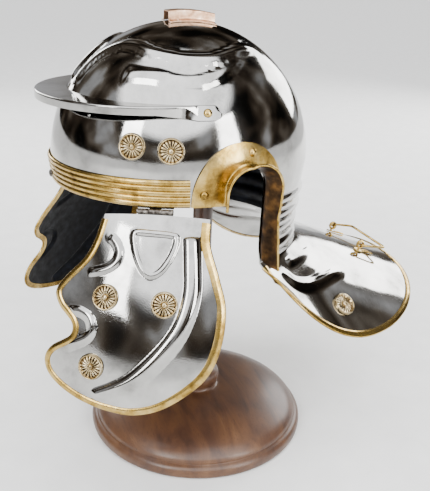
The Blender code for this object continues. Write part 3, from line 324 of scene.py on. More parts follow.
# %% Blackened steel
black, tree, shader, place = new_finish("oil_blackened_steel", Metallic=0.85)
scale = noise(tree, place, 160.0, 5.0)
feed(tree, shader,
     Base_Color=ramp(tree, scale, (0.30, "#030304"), (0.52, "#07080C"), (0.72, "#10131B")),
     Roughness=spread(tree, scale, 0.30, 0.70, 0.60, 0.38),
     Normal=bump(tree, scale, 0.3, 0.0003))
print("made", black.name)

# %% [markdown]
# **Hinge iron.** The hinges are plain mild steel wire and strip, left unpolished and slightly browned,
# and so is the stud in the middle of the brow band.

# %% Browned iron
iron, tree, shader, place = new_finish("browned_hinge_iron", Metallic=1.0)
rust = noise(tree, place, 420.0, 5.0)
feed(tree, shader,
     Base_Color=ramp(tree, rust, (0.35, "#2B2420"), (0.52, "#5A5550"), (0.70, "#8C8780")),
     Roughness=spread(tree, rust, 0.30, 0.70, 0.55, 0.30),
     Normal=bump(tree, rust, 0.3, 0.0002))
print("made", iron.name)

# %% [markdown]
# **Varnished hardwood.** The stand is turned from an open-grained brown hardwood such as sheesham. Its
# figure is quiet: cloudy streaks 5 to 20 mm wide run along the board and bend a little, and dark pores,
# dashes about 0.3 mm wide drawn twice as wide here, lie along them. A brushed varnish gives it a
# half-gloss coat.

# %% Varnished hardwood
BOARD = (0.0, math.radians(6.0), math.radians(62.0))
wood, tree, shader, place = new_finish("varnished_turned_hardwood", Roughness=0.45, Coat_Weight=0.22,
                                       Coat_Roughness=0.22)
streaks = noise(tree, drawn_out(tree, place, (10.0, 62.0, 50.0), BOARD), 1.0, 7.0, 0.58, 0.9)
pores = noise(tree, drawn_out(tree, place, (70.0, 1300.0, 900.0), BOARD), 1.0, 2.0)
pore_mark = spread(tree, pores, 0.60, 0.70, 0.0, 0.5)
clouds = noise(tree, place, 28.0, 3.0)
figure = node(tree, "ShaderNodeMix", {"data_type": "FLOAT"}, {2: streaks, 3: clouds}, {0: 0.35}).outputs[0]
colour = ramp(tree, figure, (0.30, "#2A180E"), (0.45, "#462B1A"), (0.58, "#573820"), (0.72, "#67472C"))
shown = node(tree, "ShaderNodeMix", {"data_type": "RGBA"}, {0: pore_mark, 6: colour}, {7: linear("#2A140B")})
sunk = node(tree, "ShaderNodeBump", {"invert": True}, {"Height": pore_mark},
            {"Strength": 0.25, "Distance": 0.0003})
feed(tree, shader, Base_Color=shown.outputs[2], Normal=sunk.outputs["Normal"])
print("made", wood.name)

# %% [markdown]
# ## Camera, floor and light
#
# The camera stands at the wearer's left and a little in front, 0.18 m above the bowl's rim, and looks
# down on the helmet. The floor is a plain pale sweep. Mirror-polished steel shows only what stands round
# it, so the room is a broad soft white light above and behind the camera, between dull brown and
# grey walls, and a few soft lamps add white shapes.

# %% Camera
camera_data = bpy.data.cameras.new("camera")
camera = bpy.data.objects.new("camera", camera_data)
bpy.context.scene.collection.objects.link(camera)
bpy.context.scene.camera = camera
PITCH, TURN, ROLL = math.radians(21.96), math.radians(69.55), math.radians(2.46)
YAW = math.radians(-1.15)
level = Matrix.Rotation(YAW, 3, "Z") @ Vector((-math.sin(TURN), math.cos(TURN), 0.0))
ahead = level * math.cos(PITCH) - Vector((0.0, 0.0, math.sin(PITCH)))
right = ahead.cross(Vector((0.0, 0.0, 1.0))).normalized()
above = right.cross(ahead)
turned_right = right * math.cos(ROLL) + above * math.sin(ROLL)
turned_above = above * math.cos(ROLL) - right * math.sin(ROLL)
axes = Matrix((turned_right, turned_above, -ahead)).transposed()
camera.matrix_world = Matrix.Translation((0.5808, -0.2165, 0.4365)) @ axes.to_4x4()
PHOTO_HEIGHT, FOCAL_PIXELS = 491.0, 710.9
camera_data.sensor_width = 36.0
camera_data.lens = 36.0 * FOCAL_PIXELS / PHOTO_HEIGHT
camera_data.dof.use_dof = False
print("camera lens", round(camera_data.lens, 1), "mm")

# %% Floor
bpy.ops.object.select_all(action="DESELECT")
bpy.ops.mesh.primitive_plane_add(size=60.0, location=(0.0, 0.0, 0.0))
floor = bpy.context.object
floor.name = "floor"
paper, tree, shader, place = new_finish("white_matt_paper", Roughness=0.9)
feed(tree, shader, Base_Color=ramp(tree, noise(tree, place, 30.0, 4.0), (0.3, "#F3F3F1"), (0.7, "#FAFAF8")))
dress(floor, paper)
print("floor", tuple(round(v, 2) for v in floor.dimensions))

# %% Lights
def soft_lamp(name, place, target, width, height, power):
    """A rectangular lamp that faces its target."""
    light = bpy.data.lights.new(name, "AREA")
    light.shape = "RECTANGLE"
    light.size = width
    light.size_y = height
    light.energy = power
    lamp = bpy.data.objects.new(name, light)
    bpy.context.scene.collection.objects.link(lamp)
    lamp.location = place
    lamp.rotation_euler = (Vector(target) - Vector(place)).to_track_quat("-Z", "Y").to_euler()
    return lamp


MIDDLE = (0.0, 0.0, 0.25)
soft_lamp("lamp_window", (1.2, -1.5, 1.1), MIDDLE, 0.6, 1.1, 26.0)
soft_lamp("lamp_tall_window", (1.8, 0.95, 0.85), MIDDLE, 0.6, 1.3, 34.0)
soft_lamp("lamp_behind", (-0.95, 1.7, 0.95), MIDDLE, 1.2, 0.9, 34.0)
soft_lamp("lamp_far_side", (-1.5, -0.5, 0.9), MIDDLE, 0.5, 0.9, 14.0)
world = bpy.data.worlds.new("pale_room")
bpy.context.scene.world = world
world.use_nodes = True
room = world.node_tree
look = node(room, "ShaderNodeTexCoord").outputs["Generated"]
walls = ramp(room, noise(room, look, 2.6, 2.0, 0.45),
             (0.38, "#0C0B09"), (0.48, "#3A322A"), (0.57, "#665F57"), (0.66, "#A5A6A9"))
SKY_SIDE = (0.48, -0.16, 0.86)
towards = node(room, "ShaderNodeVectorMath", {"operation": "DOT_PRODUCT"}, {0: look}, {1: SKY_SIDE})
cover = node(room, "ShaderNodeMapRange", {"interpolation_type": "SMOOTHSTEP"},
             {"Value": towards.outputs["Value"]}, {"From Min": 0.70, "From Max": 0.80})
seen = node(room, "ShaderNodeMix", {"data_type": "RGBA"}, {0: cover.outputs["Result"], 6: walls},
            {7: linear("#FBFCFF", 2.6)})
room.links.new(seen.outputs[2], room.nodes["Background"].inputs["Color"])
room.nodes["Background"].inputs["Strength"].default_value = 1.5

# %% [markdown]
# ## Sizes of the bowl
#
# The bowl is an egg: half an ellipsoid above the waist, and a wall that tucks in under the waist at the
# back. A point on it is named by the angle from the brow round by the left ear, and by its height.

# %% Bowl sizes and rules
BOWL_HALF_WIDTH, BOWL_HALF_LENGTH, BOWL_RISE = 0.0970, 0.1125, 0.1110
BOWL_CENTRE_Y, BOWL_SHEET = -0.0226, 0.0015
WAIST, RIM, NAPE = 0.2780, 0.2590, 0.2060
NAPE_TUCK, SIDE_TUCK, NAPE_FLARE = 0.0110, 0.0010, 0.0040
SEAT = 0.0003
EAR_RADIUS, EAR_SPRING = 0.0172, 0.2718
VISOR_HEIGHT = 0.3350


def bowl_section(height):
    """Half width and half length of the bowl at a height."""
    if height >= WAIST:
        share = math.sqrt(max(0.0, 1.0 - ((height - WAIST) / BOWL_RISE) ** 2))
        return BOWL_HALF_WIDTH * share, BOWL_HALF_LENGTH * share
    drop = (WAIST - height) / (WAIST - NAPE)
    flare = NAPE_FLARE * max(0.0, (drop - 0.75) / 0.25) ** 2
    return BOWL_HALF_WIDTH - SIDE_TUCK * drop + flare, BOWL_HALF_LENGTH - NAPE_TUCK * drop + flare


def bowl_point(angle, height, out=0.0):
    half_width, half_length = bowl_section(height)
    sine, cosine = math.sin(angle), math.cos(angle)
    away = Vector((sine * half_length, -cosine * half_width, 0.0))
    if away.length > 0.0:
        away.normalize()
    return Vector((half_width * sine, BOWL_CENTRE_Y - half_length * cosine, height)) + away * out


def bowl_angle(y, height):
    return math.acos(max(-1.0, min(1.0, (BOWL_CENTRE_Y - y) / bowl_section(height)[1])))


def bowl_normal(point):
    rise = max(0.0, point.z - WAIST)
    return Vector((point.x / BOWL_HALF_WIDTH ** 2, (point.y - BOWL_CENTRE_Y) / BOWL_HALF_LENGTH ** 2,
                   rise / BOWL_RISE ** 2)).normalized()


def curved_line(points, steps=6, sharp=()):
    """A smooth line of points through the given ones; it keeps its corner at each number in sharp."""
    line = []
    for i in range(len(points) - 1):
        start, end = points[i], points[i + 1]
        before = start if i in sharp else points[max(0, i - 1)]
        after = end if i + 1 in sharp else points[min(len(points) - 1, i + 2)]
        for step in range(steps):
            t = step / steps
            by_t2 = 2.0 * before - 5.0 * start + 4.0 * end - after
            by_t3 = 3.0 * start - before - 3.0 * end + after
            line.append(start + 0.5 * ((end - before) * t + by_t2 * t ** 2 + by_t3 * t ** 3))
    line.append(points[-1])
    return line


def near_line(point, line):
    """Distance to the nearest point of a line, and how far along the line that lies from 0 to 1."""
    best, where = math.inf, 0.0
    for i, (start, end) in enumerate(zip(line, line[1:])):
        along = end - start
        share = max(0.0, min(1.0, (point - start).dot(along) / along.length_squared))
        distance = (point - start - along * share).length
        if distance < best:
            best, where = distance, (i + share) / (len(line) - 1)
    return best, where


def ridge(distance, half_width, relief):
    """Height of a half-round ridge at a distance from its middle."""
    if distance >= half_width:
        return 0.0
    return relief * (1.0 - (distance / half_width) ** 2) ** 0.8


def fade(value, start, end):
    """0 before start, 1 after end, and an even step between."""
    share = max(0.0, min(1.0, (value - start) / (end - start)))
    return share * share * (3.0 - 2.0 * share)


print("bowl at the waist:", [round(2000 * v) for v in bowl_section(WAIST)], "mm")

# %% [markdown]
# ## The bowl
#
# The real bowl is one sheet, raised and then chased: two long waves, the eyebrows, swell on each side
# above the visor, and level ribs stiffen the nape. A smith works them from inside with a hammer. Here
# the sheet is a wrapped grid with its points lifted along the waves. Then it gets its thickness, and
# one straight cut across takes out the ear openings and the front below the rim.

# %% Waves and ribs
BROW_LINES = [curved_line([Vector(p) for p in line]) for line in (
    [(0.10, -0.87), (0.09, -0.76), (0.135, -0.60), (0.275, -0.45), (0.48, -0.335), (0.605, -0.15),
     (0.605, 0.08), (0.42, 0.37), (0.34, 0.50)],
    [(0.49, -0.56), (0.615, -0.40), (0.74, -0.19), (0.735, 0.0), (0.65, 0.16), (0.46, 0.33)],
)]
BROW_SIZES = [(0.0058, 0.0030), (0.0050, 0.0020)]


def brow_lift(point):
    """How far the eyebrow waves stand above the plain dome, the same on both sides."""
    flat = Vector((abs(point.x) / BOWL_HALF_WIDTH, (point.y - BOWL_CENTRE_Y) / BOWL_HALF_LENGTH))
    lift = 0.0
    for line, (half_width, relief) in zip(BROW_LINES, BROW_SIZES):
        distance, where = near_line(flat, line)
        ends = fade(where, 0.0, 0.06) * (1.0 - fade(where, 0.80, 1.0))
        lift = max(lift, ends * ridge(distance * BOWL_HALF_LENGTH, half_width, relief))
    return lift * fade(point.z, VISOR_HEIGHT + 0.003, VISOR_HEIGHT + 0.012)


LEG_ANGLE = bowl_angle(EAR_RADIUS + 0.0085, RIM)


def nape_lift(angle, height):
    """Relief of the four nape ribs, which run out just behind the ear openings."""
    if height >= RIM:
        return 0.0
    drop = (RIM - height) / (RIM - NAPE)
    beside = min(angle, 2.0 * math.pi - angle)
    return 0.0022 * (0.5 - 0.5 * math.cos(8.0 * math.pi * drop)) * fade(beside, LEG_ANGLE, LEG_ANGLE + 0.10)


def bowl_place(across, down):
    angle = 2.0 * math.pi * across
    if down < 0.6:
        height = WAIST + BOWL_RISE * math.cos(math.radians(90.0) * down / 0.6)
        point = bowl_point(angle, height)
        return point + bowl_normal(point) * brow_lift(point)
    height = WAIST - (WAIST - NAPE) * (down - 0.6) / 0.4
    return bowl_point(angle, height, nape_lift(angle, height))


print("eyebrow waves stand", [round(1000 * relief, 1) for _, relief in BROW_SIZES], "mm above the dome")

# %% Form the bowl and cut the ear openings
def prism(name, outline, across):
    """A solid straight bar with this outline, both ways along a direction."""
    mesh = bpy.data.meshes.new(name)
    count = len(outline)
    mesh.from_pydata([point - across for point in outline], [], [list(range(count))])
    bar = bpy.data.objects.new(name, mesh)
    bpy.context.scene.collection.objects.link(bar)
    pick(bar)
    bpy.ops.object.mode_set(mode="EDIT")
    bpy.ops.mesh.select_all(action="SELECT")
    bpy.ops.mesh.extrude_region_move(TRANSFORM_OT_translate={"value": across * 2.0})
    bpy.ops.object.mode_set(mode="OBJECT")
    outwards(bar)
    return bar


def cut_with(piece, cutter):
    """Take a cutter's shape out of a piece and throw the cutter away."""
    pick(piece)
    cut = piece.modifiers.new("cut", "BOOLEAN")
    cut.operation = "DIFFERENCE"
    cut.solver = "EXACT"
    cut.object = cutter
    bpy.ops.object.modifier_apply(modifier="cut")
    bpy.data.objects.remove(cutter)


bowl = formed_sheet("steel_bowl", 240, 100, bowl_place)
weld(bowl)
face_towards(bowl, 0, bowl.data.polygons[0].center - Vector((0.0, BOWL_CENTRE_Y, WAIST)))
dress(bowl, steel, black)
thicken(bowl, BOWL_SHEET, inner_slot=1)
arch = []
for step in range(33):
    turn = math.pi * (1.0 - step / 32)
    arch.append(Vector((0.0, EAR_RADIUS * math.cos(turn), EAR_SPRING + EAR_RADIUS * math.sin(turn))))
outline = [Vector((0.0, -0.3, RIM)), Vector((0.0, -EAR_RADIUS, RIM))] + arch
outline += [Vector((0.0, EAR_RADIUS, 0.15)), Vector((0.0, -0.3, 0.15))]
cut_with(bowl, prism("ear_cut", outline, Vector((0.2, 0.0, 0.0))))
smooth(bowl, 35.0)
done(bowl, "helmet", "steel", "bowl")

# %% [markdown]
# ## The brow band
#
# A brass strip with five rolled ribs runs round the front of the rim, from one ear guard to the other.
# The ribs are half-round with sharp grooves between them, which a rounded wave down the strip gives.

# %% Brow band
BAND_HEIGHT, BAND_SHEET, BAND_RIBS, BAND_RELIEF = 0.0215, 0.0010, 5, 0.0012
EAR_PLATE_Y, EAR_PLATE_Z, EAR_PLATE_LENGTH, EAR_PLATE_RISE = -0.0050, 0.2620, 0.0400, 0.0460
BAND_REACH = bowl_angle(EAR_PLATE_Y - EAR_PLATE_LENGTH - 0.0008, RIM)


def band_place(across, down):
    angle = BAND_REACH * (2.0 * across - 1.0)
    rib = abs(math.sin(math.pi * BAND_RIBS * down)) ** 0.65
    return bowl_point(angle, RIM + SEAT + BAND_HEIGHT * (1.0 - down), SEAT + BAND_SHEET + BAND_RELIEF * rib)


band = formed_sheet("brass_brow_band", 160, 60, band_place)
face_towards(band, 80, Vector((0.0, -1.0, 0.0)))
dress(band, brass)
thicken(band, BAND_SHEET * 0.8)
smooth(band, 50.0)
done(band, "helmet", "brass", "brow_band")

# %% [markdown]
# ## The visor
#
# The peak is a flat steel crescent with its edge turned down, and on each temple it ends in a flat tab
# held by one rivet. The bend in the sheet is round, not sharp, so it mirrors a bright line.

# %% Visor
VISOR_REACH, VISOR_SHEET, VISOR_EDGE, VISOR_TAB = 0.0250, 0.0014, 0.0065, 0.0105
VISOR_SWEEP, VISOR_TAB_SWEEP = math.radians(91.0), math.radians(10.0)
VISOR_BEND = 0.0017


def tab_height(angle):
    """Share of its full height that the visor's tab keeps at an angle: its end is a half circle."""
    radius = VISOR_TAB / 2.0
    left = (VISOR_SWEEP - abs(angle)) * BOWL_HALF_WIDTH
    return math.sqrt(max(0.0, 1.0 - (1.0 - min(1.0, left / radius)) ** 2))


def visor_plain(across, down):
    angle = VISOR_SWEEP * (2.0 * across - 1.0)
    front = max(0.0, math.cos(angle * math.radians(90.0) / (VISOR_SWEEP - VISOR_TAB_SWEEP)))
    reach = VISOR_REACH * front ** 0.9
    depth = VISOR_TAB + (VISOR_EDGE - VISOR_TAB) * min(1.0, 3.0 * front)
    low = VISOR_HEIGHT - depth
    edge = bowl_point(angle, VISOR_HEIGHT, SEAT + VISOR_SHEET + reach)
    away = (bowl_point(angle, VISOR_HEIGHT, 1.0) - bowl_point(angle, VISOR_HEIGHT)).normalized()
    foot = bowl_point(angle, low, SEAT + VISOR_SHEET)
    lean = max(0.0, (foot - edge).dot(away))
    root = bowl_point(angle, VISOR_HEIGHT, SEAT)
    edge_low = Vector((edge.x, edge.y, low)) + away * lean
    bend = min(VISOR_BEND, (edge - root).length * 0.45)
    start = edge - away * bend
    end = edge + (edge_low - edge).normalized() * bend
    if down < 0.55:
        return root.lerp(start, down / 0.55)
    if down < 0.75:
        return swept(start, edge, end, (down - 0.55) / 0.20)
    return end.lerp(edge_low, (down - 0.75) / 0.25)


def visor_place(across, down):
    across = 0.5 - 0.5 * math.cos(math.pi * across)
    point = visor_plain(across, down)
    middle = VISOR_HEIGHT - VISOR_TAB / 2.0
    share = max(0.04, tab_height(VISOR_SWEEP * (2.0 * across - 1.0)))
    point.z = middle + (point.z - middle) * share
    return point


visor = formed_sheet("steel_visor", 200, 40, visor_place)
face_towards(visor, 5 * 200 + 100, Vector((0.0, 0.0, 1.0)))
dress(visor, steel, black)
thicken(visor, VISOR_SHEET * 0.85, inner_slot=1)
smooth(visor, 50.0)
done(visor, "helmet", "steel", "visor")

# %% [markdown]
# ## The ear guards
#
# A brass plate follows the bowl round each ear opening. Its inner edge is flanged outward like a small
# roof, deepest down the back, and the flange's lip is rolled into a bead. The plate, the bend and the
# flange are one formed sheet here, and the bead is a thin rod along the lip.

# %% Ear guard rules
EAR_SHEET, EAR_SEAT, EAR_LEG, FLANGE_REACH, FLANGE_BEND = 0.0010, 0.0006, 0.0075, 0.0150, 0.0016
FLARE_FRONT, FLARE_TOP, FLARE_BACK = 0.0040, 0.0020, 0.0090
EAR_FOOT, FOOT_DROP, BEAD_RADIUS = NAPE + 0.0025, 0.0060, 0.0011


def ear_row(along):
    """Inner and outer edge, flare and drop of the ear guard from its front foot (0) to its back foot (1)."""
    if along < 0.04:
        share = along / 0.04
        inner = Vector((-EAR_RADIUS, RIM + SEAT + (EAR_SPRING - RIM - SEAT) * share))
        outer = Vector((EAR_PLATE_Y - EAR_PLATE_LENGTH, RIM + SEAT + (EAR_PLATE_Z - RIM - SEAT) * share))
        return inner, outer, FLARE_FRONT, 0.0
    if along < 0.60:
        turn = math.pi * (1.0 - (along - 0.04) / 0.56)
        inner = Vector((EAR_RADIUS * math.cos(turn), EAR_SPRING + EAR_RADIUS * math.sin(turn)))
        outer = Vector((EAR_PLATE_Y + EAR_PLATE_LENGTH * math.cos(turn),
                        EAR_PLATE_Z + EAR_PLATE_RISE * math.sin(turn)))
        side_flare = FLARE_FRONT if math.cos(turn) < 0.0 else FLARE_BACK
        return inner, outer, FLARE_TOP + (side_flare - FLARE_TOP) * abs(math.cos(turn)), 0.0
    share = (along - 0.60) / 0.40
    narrow = fade(share, 0.0, 0.28)
    inner = Vector((EAR_RADIUS, EAR_SPRING + (EAR_FOOT - EAR_SPRING) * share))
    wide = EAR_PLATE_Y + EAR_PLATE_LENGTH
    outer = Vector((wide + (EAR_RADIUS + EAR_LEG - wide) * narrow,
                    EAR_PLATE_Z + (EAR_FOOT - EAR_PLATE_Z) * share))
    return inner, outer, FLARE_BACK, FOOT_DROP * fade(share, 0.80, 1.0)


def ear_place(along, over):
    inner, outer, flare, drop = ear_row(along)
    across = (outer - inner).normalized()
    root = bowl_point(bowl_angle(inner.x, inner.y), inner.y, EAR_SEAT)
    face = EAR_SEAT + EAR_SHEET
    bend = FLANGE_BEND + EAR_SHEET
    if over < 0.45:
        flat = outer.lerp(inner + across * bend, over / 0.45)
        return bowl_point(bowl_angle(flat.x, flat.y), flat.y, face)
    if over < 0.60:
        turn = math.radians(90.0) * (over - 0.45) / 0.15
        flat = inner + across * (bend - FLANGE_BEND * math.sin(turn))
        return bowl_point(bowl_angle(flat.x, flat.y), flat.y, face + FLANGE_BEND * (1.0 - math.cos(turn)))
    share = (over - 0.60) / 0.40
    flat = inner + across * (EAR_SHEET + flare * share ** 1.6)
    start = face + FLANGE_BEND - EAR_SEAT
    return Vector((root.x + start + (FLANGE_REACH - start) * share, flat.x, flat.y - drop * share))


print("ear opening", round(2000 * EAR_RADIUS, 1), "mm wide, flange", round(1000 * FLANGE_REACH), "mm deep")

# %% A rod along a line
def rod(name, points, radius, closed=False, sides=4):
    """A round rod with filled ends along a line of points."""
    curve = bpy.data.curves.new(name, "CURVE")
    curve.dimensions = "3D"
    curve.bevel_depth = radius
    curve.bevel_resolution = sides
    curve.use_fill_caps = not closed
    spline = curve.splines.new("POLY")
    spline.points.add(len(points) - 1)
    spline.use_cyclic_u = closed
    for spot, point in zip(spline.points, points):
        spot.co = (*point, 1.0)
    made = bpy.data.objects.new(name, curve)
    bpy.context.scene.collection.objects.link(made)
    pick(made)
    bpy.ops.object.convert(target="MESH")
    made = bpy.context.object
    made.name = name
    weld(made)
    return made


def join(piece, *others):
    """Make several solids one object, named and finished as the first."""
    pick(piece)
    for other in others:
        other.select_set(True)
    bpy.ops.object.join()


print("rod and join are ready")

# %% Make both ear guards
for label, side in SIDES:
    guard = formed_sheet(f"brass_ear_guard_{label}", 150, 30, lambda a, b: mirrored(ear_place(a, b), side))
    face_towards(guard, 75, Vector((side, 0.0, 0.0)))
    dress(guard, brass, umber)
    thicken(guard, EAR_SHEET, inner_slot=1)
    bead = rod("bead", [mirrored(ear_place(i / 150, 1.0), side) for i in range(151)], BEAD_RADIUS)
    dress(bead, brass)
    join(guard, bead)
    smooth(guard, 50.0)
    done(guard, "helmet", "brass", f"ear_guard_{label}")

# %% [markdown]
# ## The neck guard
#
# A wide sloping fan keeps blows off the neck. It is polished on both faces. In plan it is a soft
# rectangle, it droops at the sides, and two arcs are embossed near each ear. Its edge is bound in
# brass. The fan is stretched between the nape's lower edge and the bound edge, over a throat that lets
# it leave the nape in a round sweep.

# %% Neck guard rules
NECK_SHEET, NECK_HALF_WIDTH, NECK_WIDEST_Y, NECK_REAR_Y = 0.0015, 0.1250, 0.0800, 0.2040
NECK_LOW, NECK_LOW_Y, NECK_REAR, NECK_SIDE, NECK_ROUNDNESS = 0.1380, 0.1180, 0.1590, 0.30, 2.3
CORNER, SHOULDER = Vector((0.1080, 0.0265, 0.1960)), Vector((0.1220, 0.0380, 0.0))
THROAT_DROP, ARC_RELIEF, ARC_HALF_WIDTH = 0.0040, 0.0030, 0.0080


def neck_rim(share):
    """Edge of the neck guard from the left ear corner (0) to the middle of the back (1)."""
    if share < NECK_SIDE:
        x, y, _ = swept(CORNER, SHOULDER, Vector((NECK_HALF_WIDTH, NECK_WIDEST_Y, 0.0)), share / NECK_SIDE)
    else:
        turn = math.radians(90.0) * (share - NECK_SIDE) / (1.0 - NECK_SIDE)
        x = NECK_HALF_WIDTH * max(0.0, math.cos(turn)) ** (2.0 / NECK_ROUNDNESS)
        y = NECK_WIDEST_Y + (NECK_REAR_Y - NECK_WIDEST_Y) * math.sin(turn) ** (2.0 / NECK_ROUNDNESS)
    if y < NECK_LOW_Y:
        lift = (CORNER.z - NECK_LOW) * ((NECK_LOW_Y - y) / (NECK_LOW_Y - CORNER.y)) ** 2
    else:
        lift = (NECK_REAR - NECK_LOW) * ((y - NECK_LOW_Y) / (NECK_REAR_Y - NECK_LOW_Y)) ** 2
    return Vector((x, y, NECK_LOW + lift))


def neck_plain(share, out):
    """The fan's top face on the left half, from the nape (out 0) to the edge (out 1)."""
    ear_edge = bowl_angle(EAR_RADIUS + SEAT, NAPE)
    nape = bowl_point(ear_edge + (math.pi - ear_edge) * share, NAPE)
    nape.z -= SEAT
    return swept(nape, nape - Vector((0.0, 0.0, THROAT_DROP)), neck_rim(share), out)


NECK_ARCS = [curved_line([neck_plain(*spot) for spot in line]) for line in (
    [(0.24, 0.385), (0.32, 0.350), (0.42, 0.345), (0.55, 0.375), (0.70, 0.43)],
    [(0.165, 0.52), (0.180, 0.61), (0.225, 0.66), (0.32, 0.64), (0.46, 0.62), (0.60, 0.65), (0.75, 0.70)],
)]


def neck_place(share, out):
    point = neck_plain(share, out)
    lift = 0.0
    for line, relief, half_width in zip(NECK_ARCS, (0.0018, ARC_RELIEF), (0.0065, ARC_HALF_WIDTH)):
        distance, where = near_line(point, line)
        taper = fade(where, -0.05, 0.25) * (1.0 - fade(where, 0.70, 1.0))
        lift = max(lift, relief * taper * (1.0 - fade(distance, 0.0, half_width)))
    edge = min((point - neck_plain(share, 0.0)).length, (point - neck_rim(share)).length - 0.003)
    point.z += lift * fade(edge, 0.0, ARC_HALF_WIDTH)
    return point


def neck_side(across):
    """Share of the way round and side of a place across the whole fan."""
    return (2.0 * across, 1) if across <= 0.5 else (2.0 - 2.0 * across, -1)


def neck_both(across, out):
    share, side = neck_side(across)
    return mirrored(neck_place(share, out), side)


print("neck guard", round(2000 * NECK_HALF_WIDTH), "mm wide,", round(1000 * NECK_LOW), "mm up at its lowest")

# %% Form the neck guard
neck = formed_sheet("steel_neck_guard", 240, 60, neck_both)
face_towards(neck, 120, Vector((0.0, 0.0, 1.0)))
dress(neck, steel)
thicken(neck, NECK_SHEET)
smooth(neck, 50.0)
done(neck, "helmet", "steel", "neck_guard")

# %% Bind an edge in brass
TRIM_SHEET, TRIM_STAND, TRIM_CROWN = 0.0004, 0.0005, 0.0005


def bound_edge(name, columns, frame_at, sheet, radius):
    """A brass strip folded round a sheet's edge: frame_at gives edge, inward and face directions, and lap."""
    frames = [frame_at(i / columns) for i in range(columns + 1)]
    half = sheet / 2.0 + TRIM_STAND

    def place(across, over):
        edge, inward, face, lap = frames[int(round(across * columns))]
        if over < 0.3:
            crown = TRIM_CROWN * math.sin(math.pi * over / 0.3)
            return edge + inward * lap * (1.0 - over / 0.3) + face * (half + crown)
        if over > 0.7:
            return edge + inward * lap * (over - 0.7) / 0.3 - face * half
        turn = math.pi * (over - 0.3) / 0.4
        return edge - inward * radius * math.sin(turn) + face * half * math.cos(turn)

    strip = formed_sheet(name, columns, 26, place)
    dress(strip, brass)
    return strip


def neck_edge(along):
    """Share and out of the bound edge on the left half: a short run down the ear corner, then the rim."""
    if along < 0.05:
        return 0.0, 0.45 + 0.55 * along / 0.05
    return (along - 0.05) / 0.95, 1.0


def neck_edge_frame(along):
    half, side = neck_side(along)
    edge = neck_place(*neck_edge(half))
    step = neck_place(*neck_edge(min(1.0, half + 0.008))) - neck_place(*neck_edge(max(0.0, half - 0.008)))
    share, out = neck_edge(half)
    inner = neck_place(share + 0.03, out) if half < 0.05 else neck_place(share, 0.93)
    if half > 0.99:
        step = Vector((-1.0, 0.0, 0.0))
    ahead_rim = mirrored(step.normalized(), side)
    edge, inner = mirrored(edge, side), mirrored(inner, side)
    face = ahead_rim.cross(inner - edge).normalized()
    if face.z < 0.0:
        face.negate()
    inward = face.cross(ahead_rim)
    if inward.dot(inner - edge) < 0.0:
        inward.negate()
    return edge - face * NECK_SHEET / 2.0, inward, face, 0.0045


neck_trim = bound_edge("brass_neck_trim", 240, neck_edge_frame, NECK_SHEET, 0.0014)
face_towards(neck_trim, 120, Vector((0.0, 0.0, 1.0)))
thicken(neck_trim, TRIM_SHEET)
smooth(neck_trim, 50.0)
done(neck_trim, "helmet", "brass", "neck_trim")

# %% [markdown]
# ## The cheek guards
#
# Each guard is cut from sheet to a bold outline with a hollow for the eye and one for the mouth, then
# dished. A long half-round ridge follows its back edge, small ridges follow the notches, and a rounded
# triangle is chased below the hinge. The grid here is wrapped: its rings grow from the middle of the
# guard to its outline, so the cut edge is clean. The guard is worked out flat, forward and down from
# its hinge, then bowed, and then swung out to the angle at which it hangs.

# %% Outline and chased lines of a cheek guard
GUARD_LENGTH, GUARD_WIDTH, GUARD_SHEET = 0.1490, 0.1410, 0.0012
BOW_ACROSS, BOW_DOWN, GUARD_TOP_GAP = 0.1613, 0.3333, 0.0026
HINGE_Y, HINGE_DROP, HINGE_OUT = -0.0710, 0.0030, 0.0016
SWINGS = {1: math.radians(34.0), -1: math.radians(30.0)}


def flat_points(rows):
    """Points in real lengths from forward and down shares."""
    return [Vector((forward * GUARD_WIDTH, down * GUARD_LENGTH)) for forward, down in rows]


OUTLINE = curved_line(flat_points((
    (0.277, 0.00), (0.312, 0.13), (0.365, 0.23), (0.485, 0.34), (0.524, 0.40), (0.500, 0.465), (0.458, 0.510),
    (0.422, 0.550), (0.411, 0.590), (0.428, 0.628), (0.472, 0.652), (0.535, 0.680), (0.572, 0.720),
    (0.575, 0.770), (0.540, 0.828), (0.462, 0.889), (0.350, 0.945), (0.215, 0.984), (0.060, 1.00),
    (-0.110, 0.955), (-0.300, 0.82), (-0.385, 0.66), (-0.405, 0.46), (-0.360, 0.30), (-0.300, 0.13),
    (-0.298, 0.00))), 12)
BACK_RIDGE = curved_line(flat_points((
    (-0.206, 0.10), (-0.219, 0.24), (-0.224, 0.40), (-0.176, 0.57), (-0.060, 0.725), (0.085, 0.845),
    (0.267, 0.915))))
EYE_RIDGE = curved_line(flat_points((
    (0.240, 0.118), (0.200, 0.155), (0.180, 0.205), (0.198, 0.255), (0.255, 0.288), (0.350, 0.305))))
MOUTH_RIDGE = curved_line(flat_points((
    (0.440, 0.500), (0.385, 0.500), (0.325, 0.535), (0.310, 0.595), (0.345, 0.640), (0.450, 0.675))))
TRIANGLE = curved_line(flat_points((
    (0.085, 0.092), (0.104, 0.102), (0.101, 0.150), (0.080, 0.222), (0.045, 0.285), (0.000, 0.311),
    (-0.052, 0.286), (-0.100, 0.215), (-0.124, 0.150), (-0.124, 0.114), (-0.103, 0.100), (0.085, 0.092))), 5)


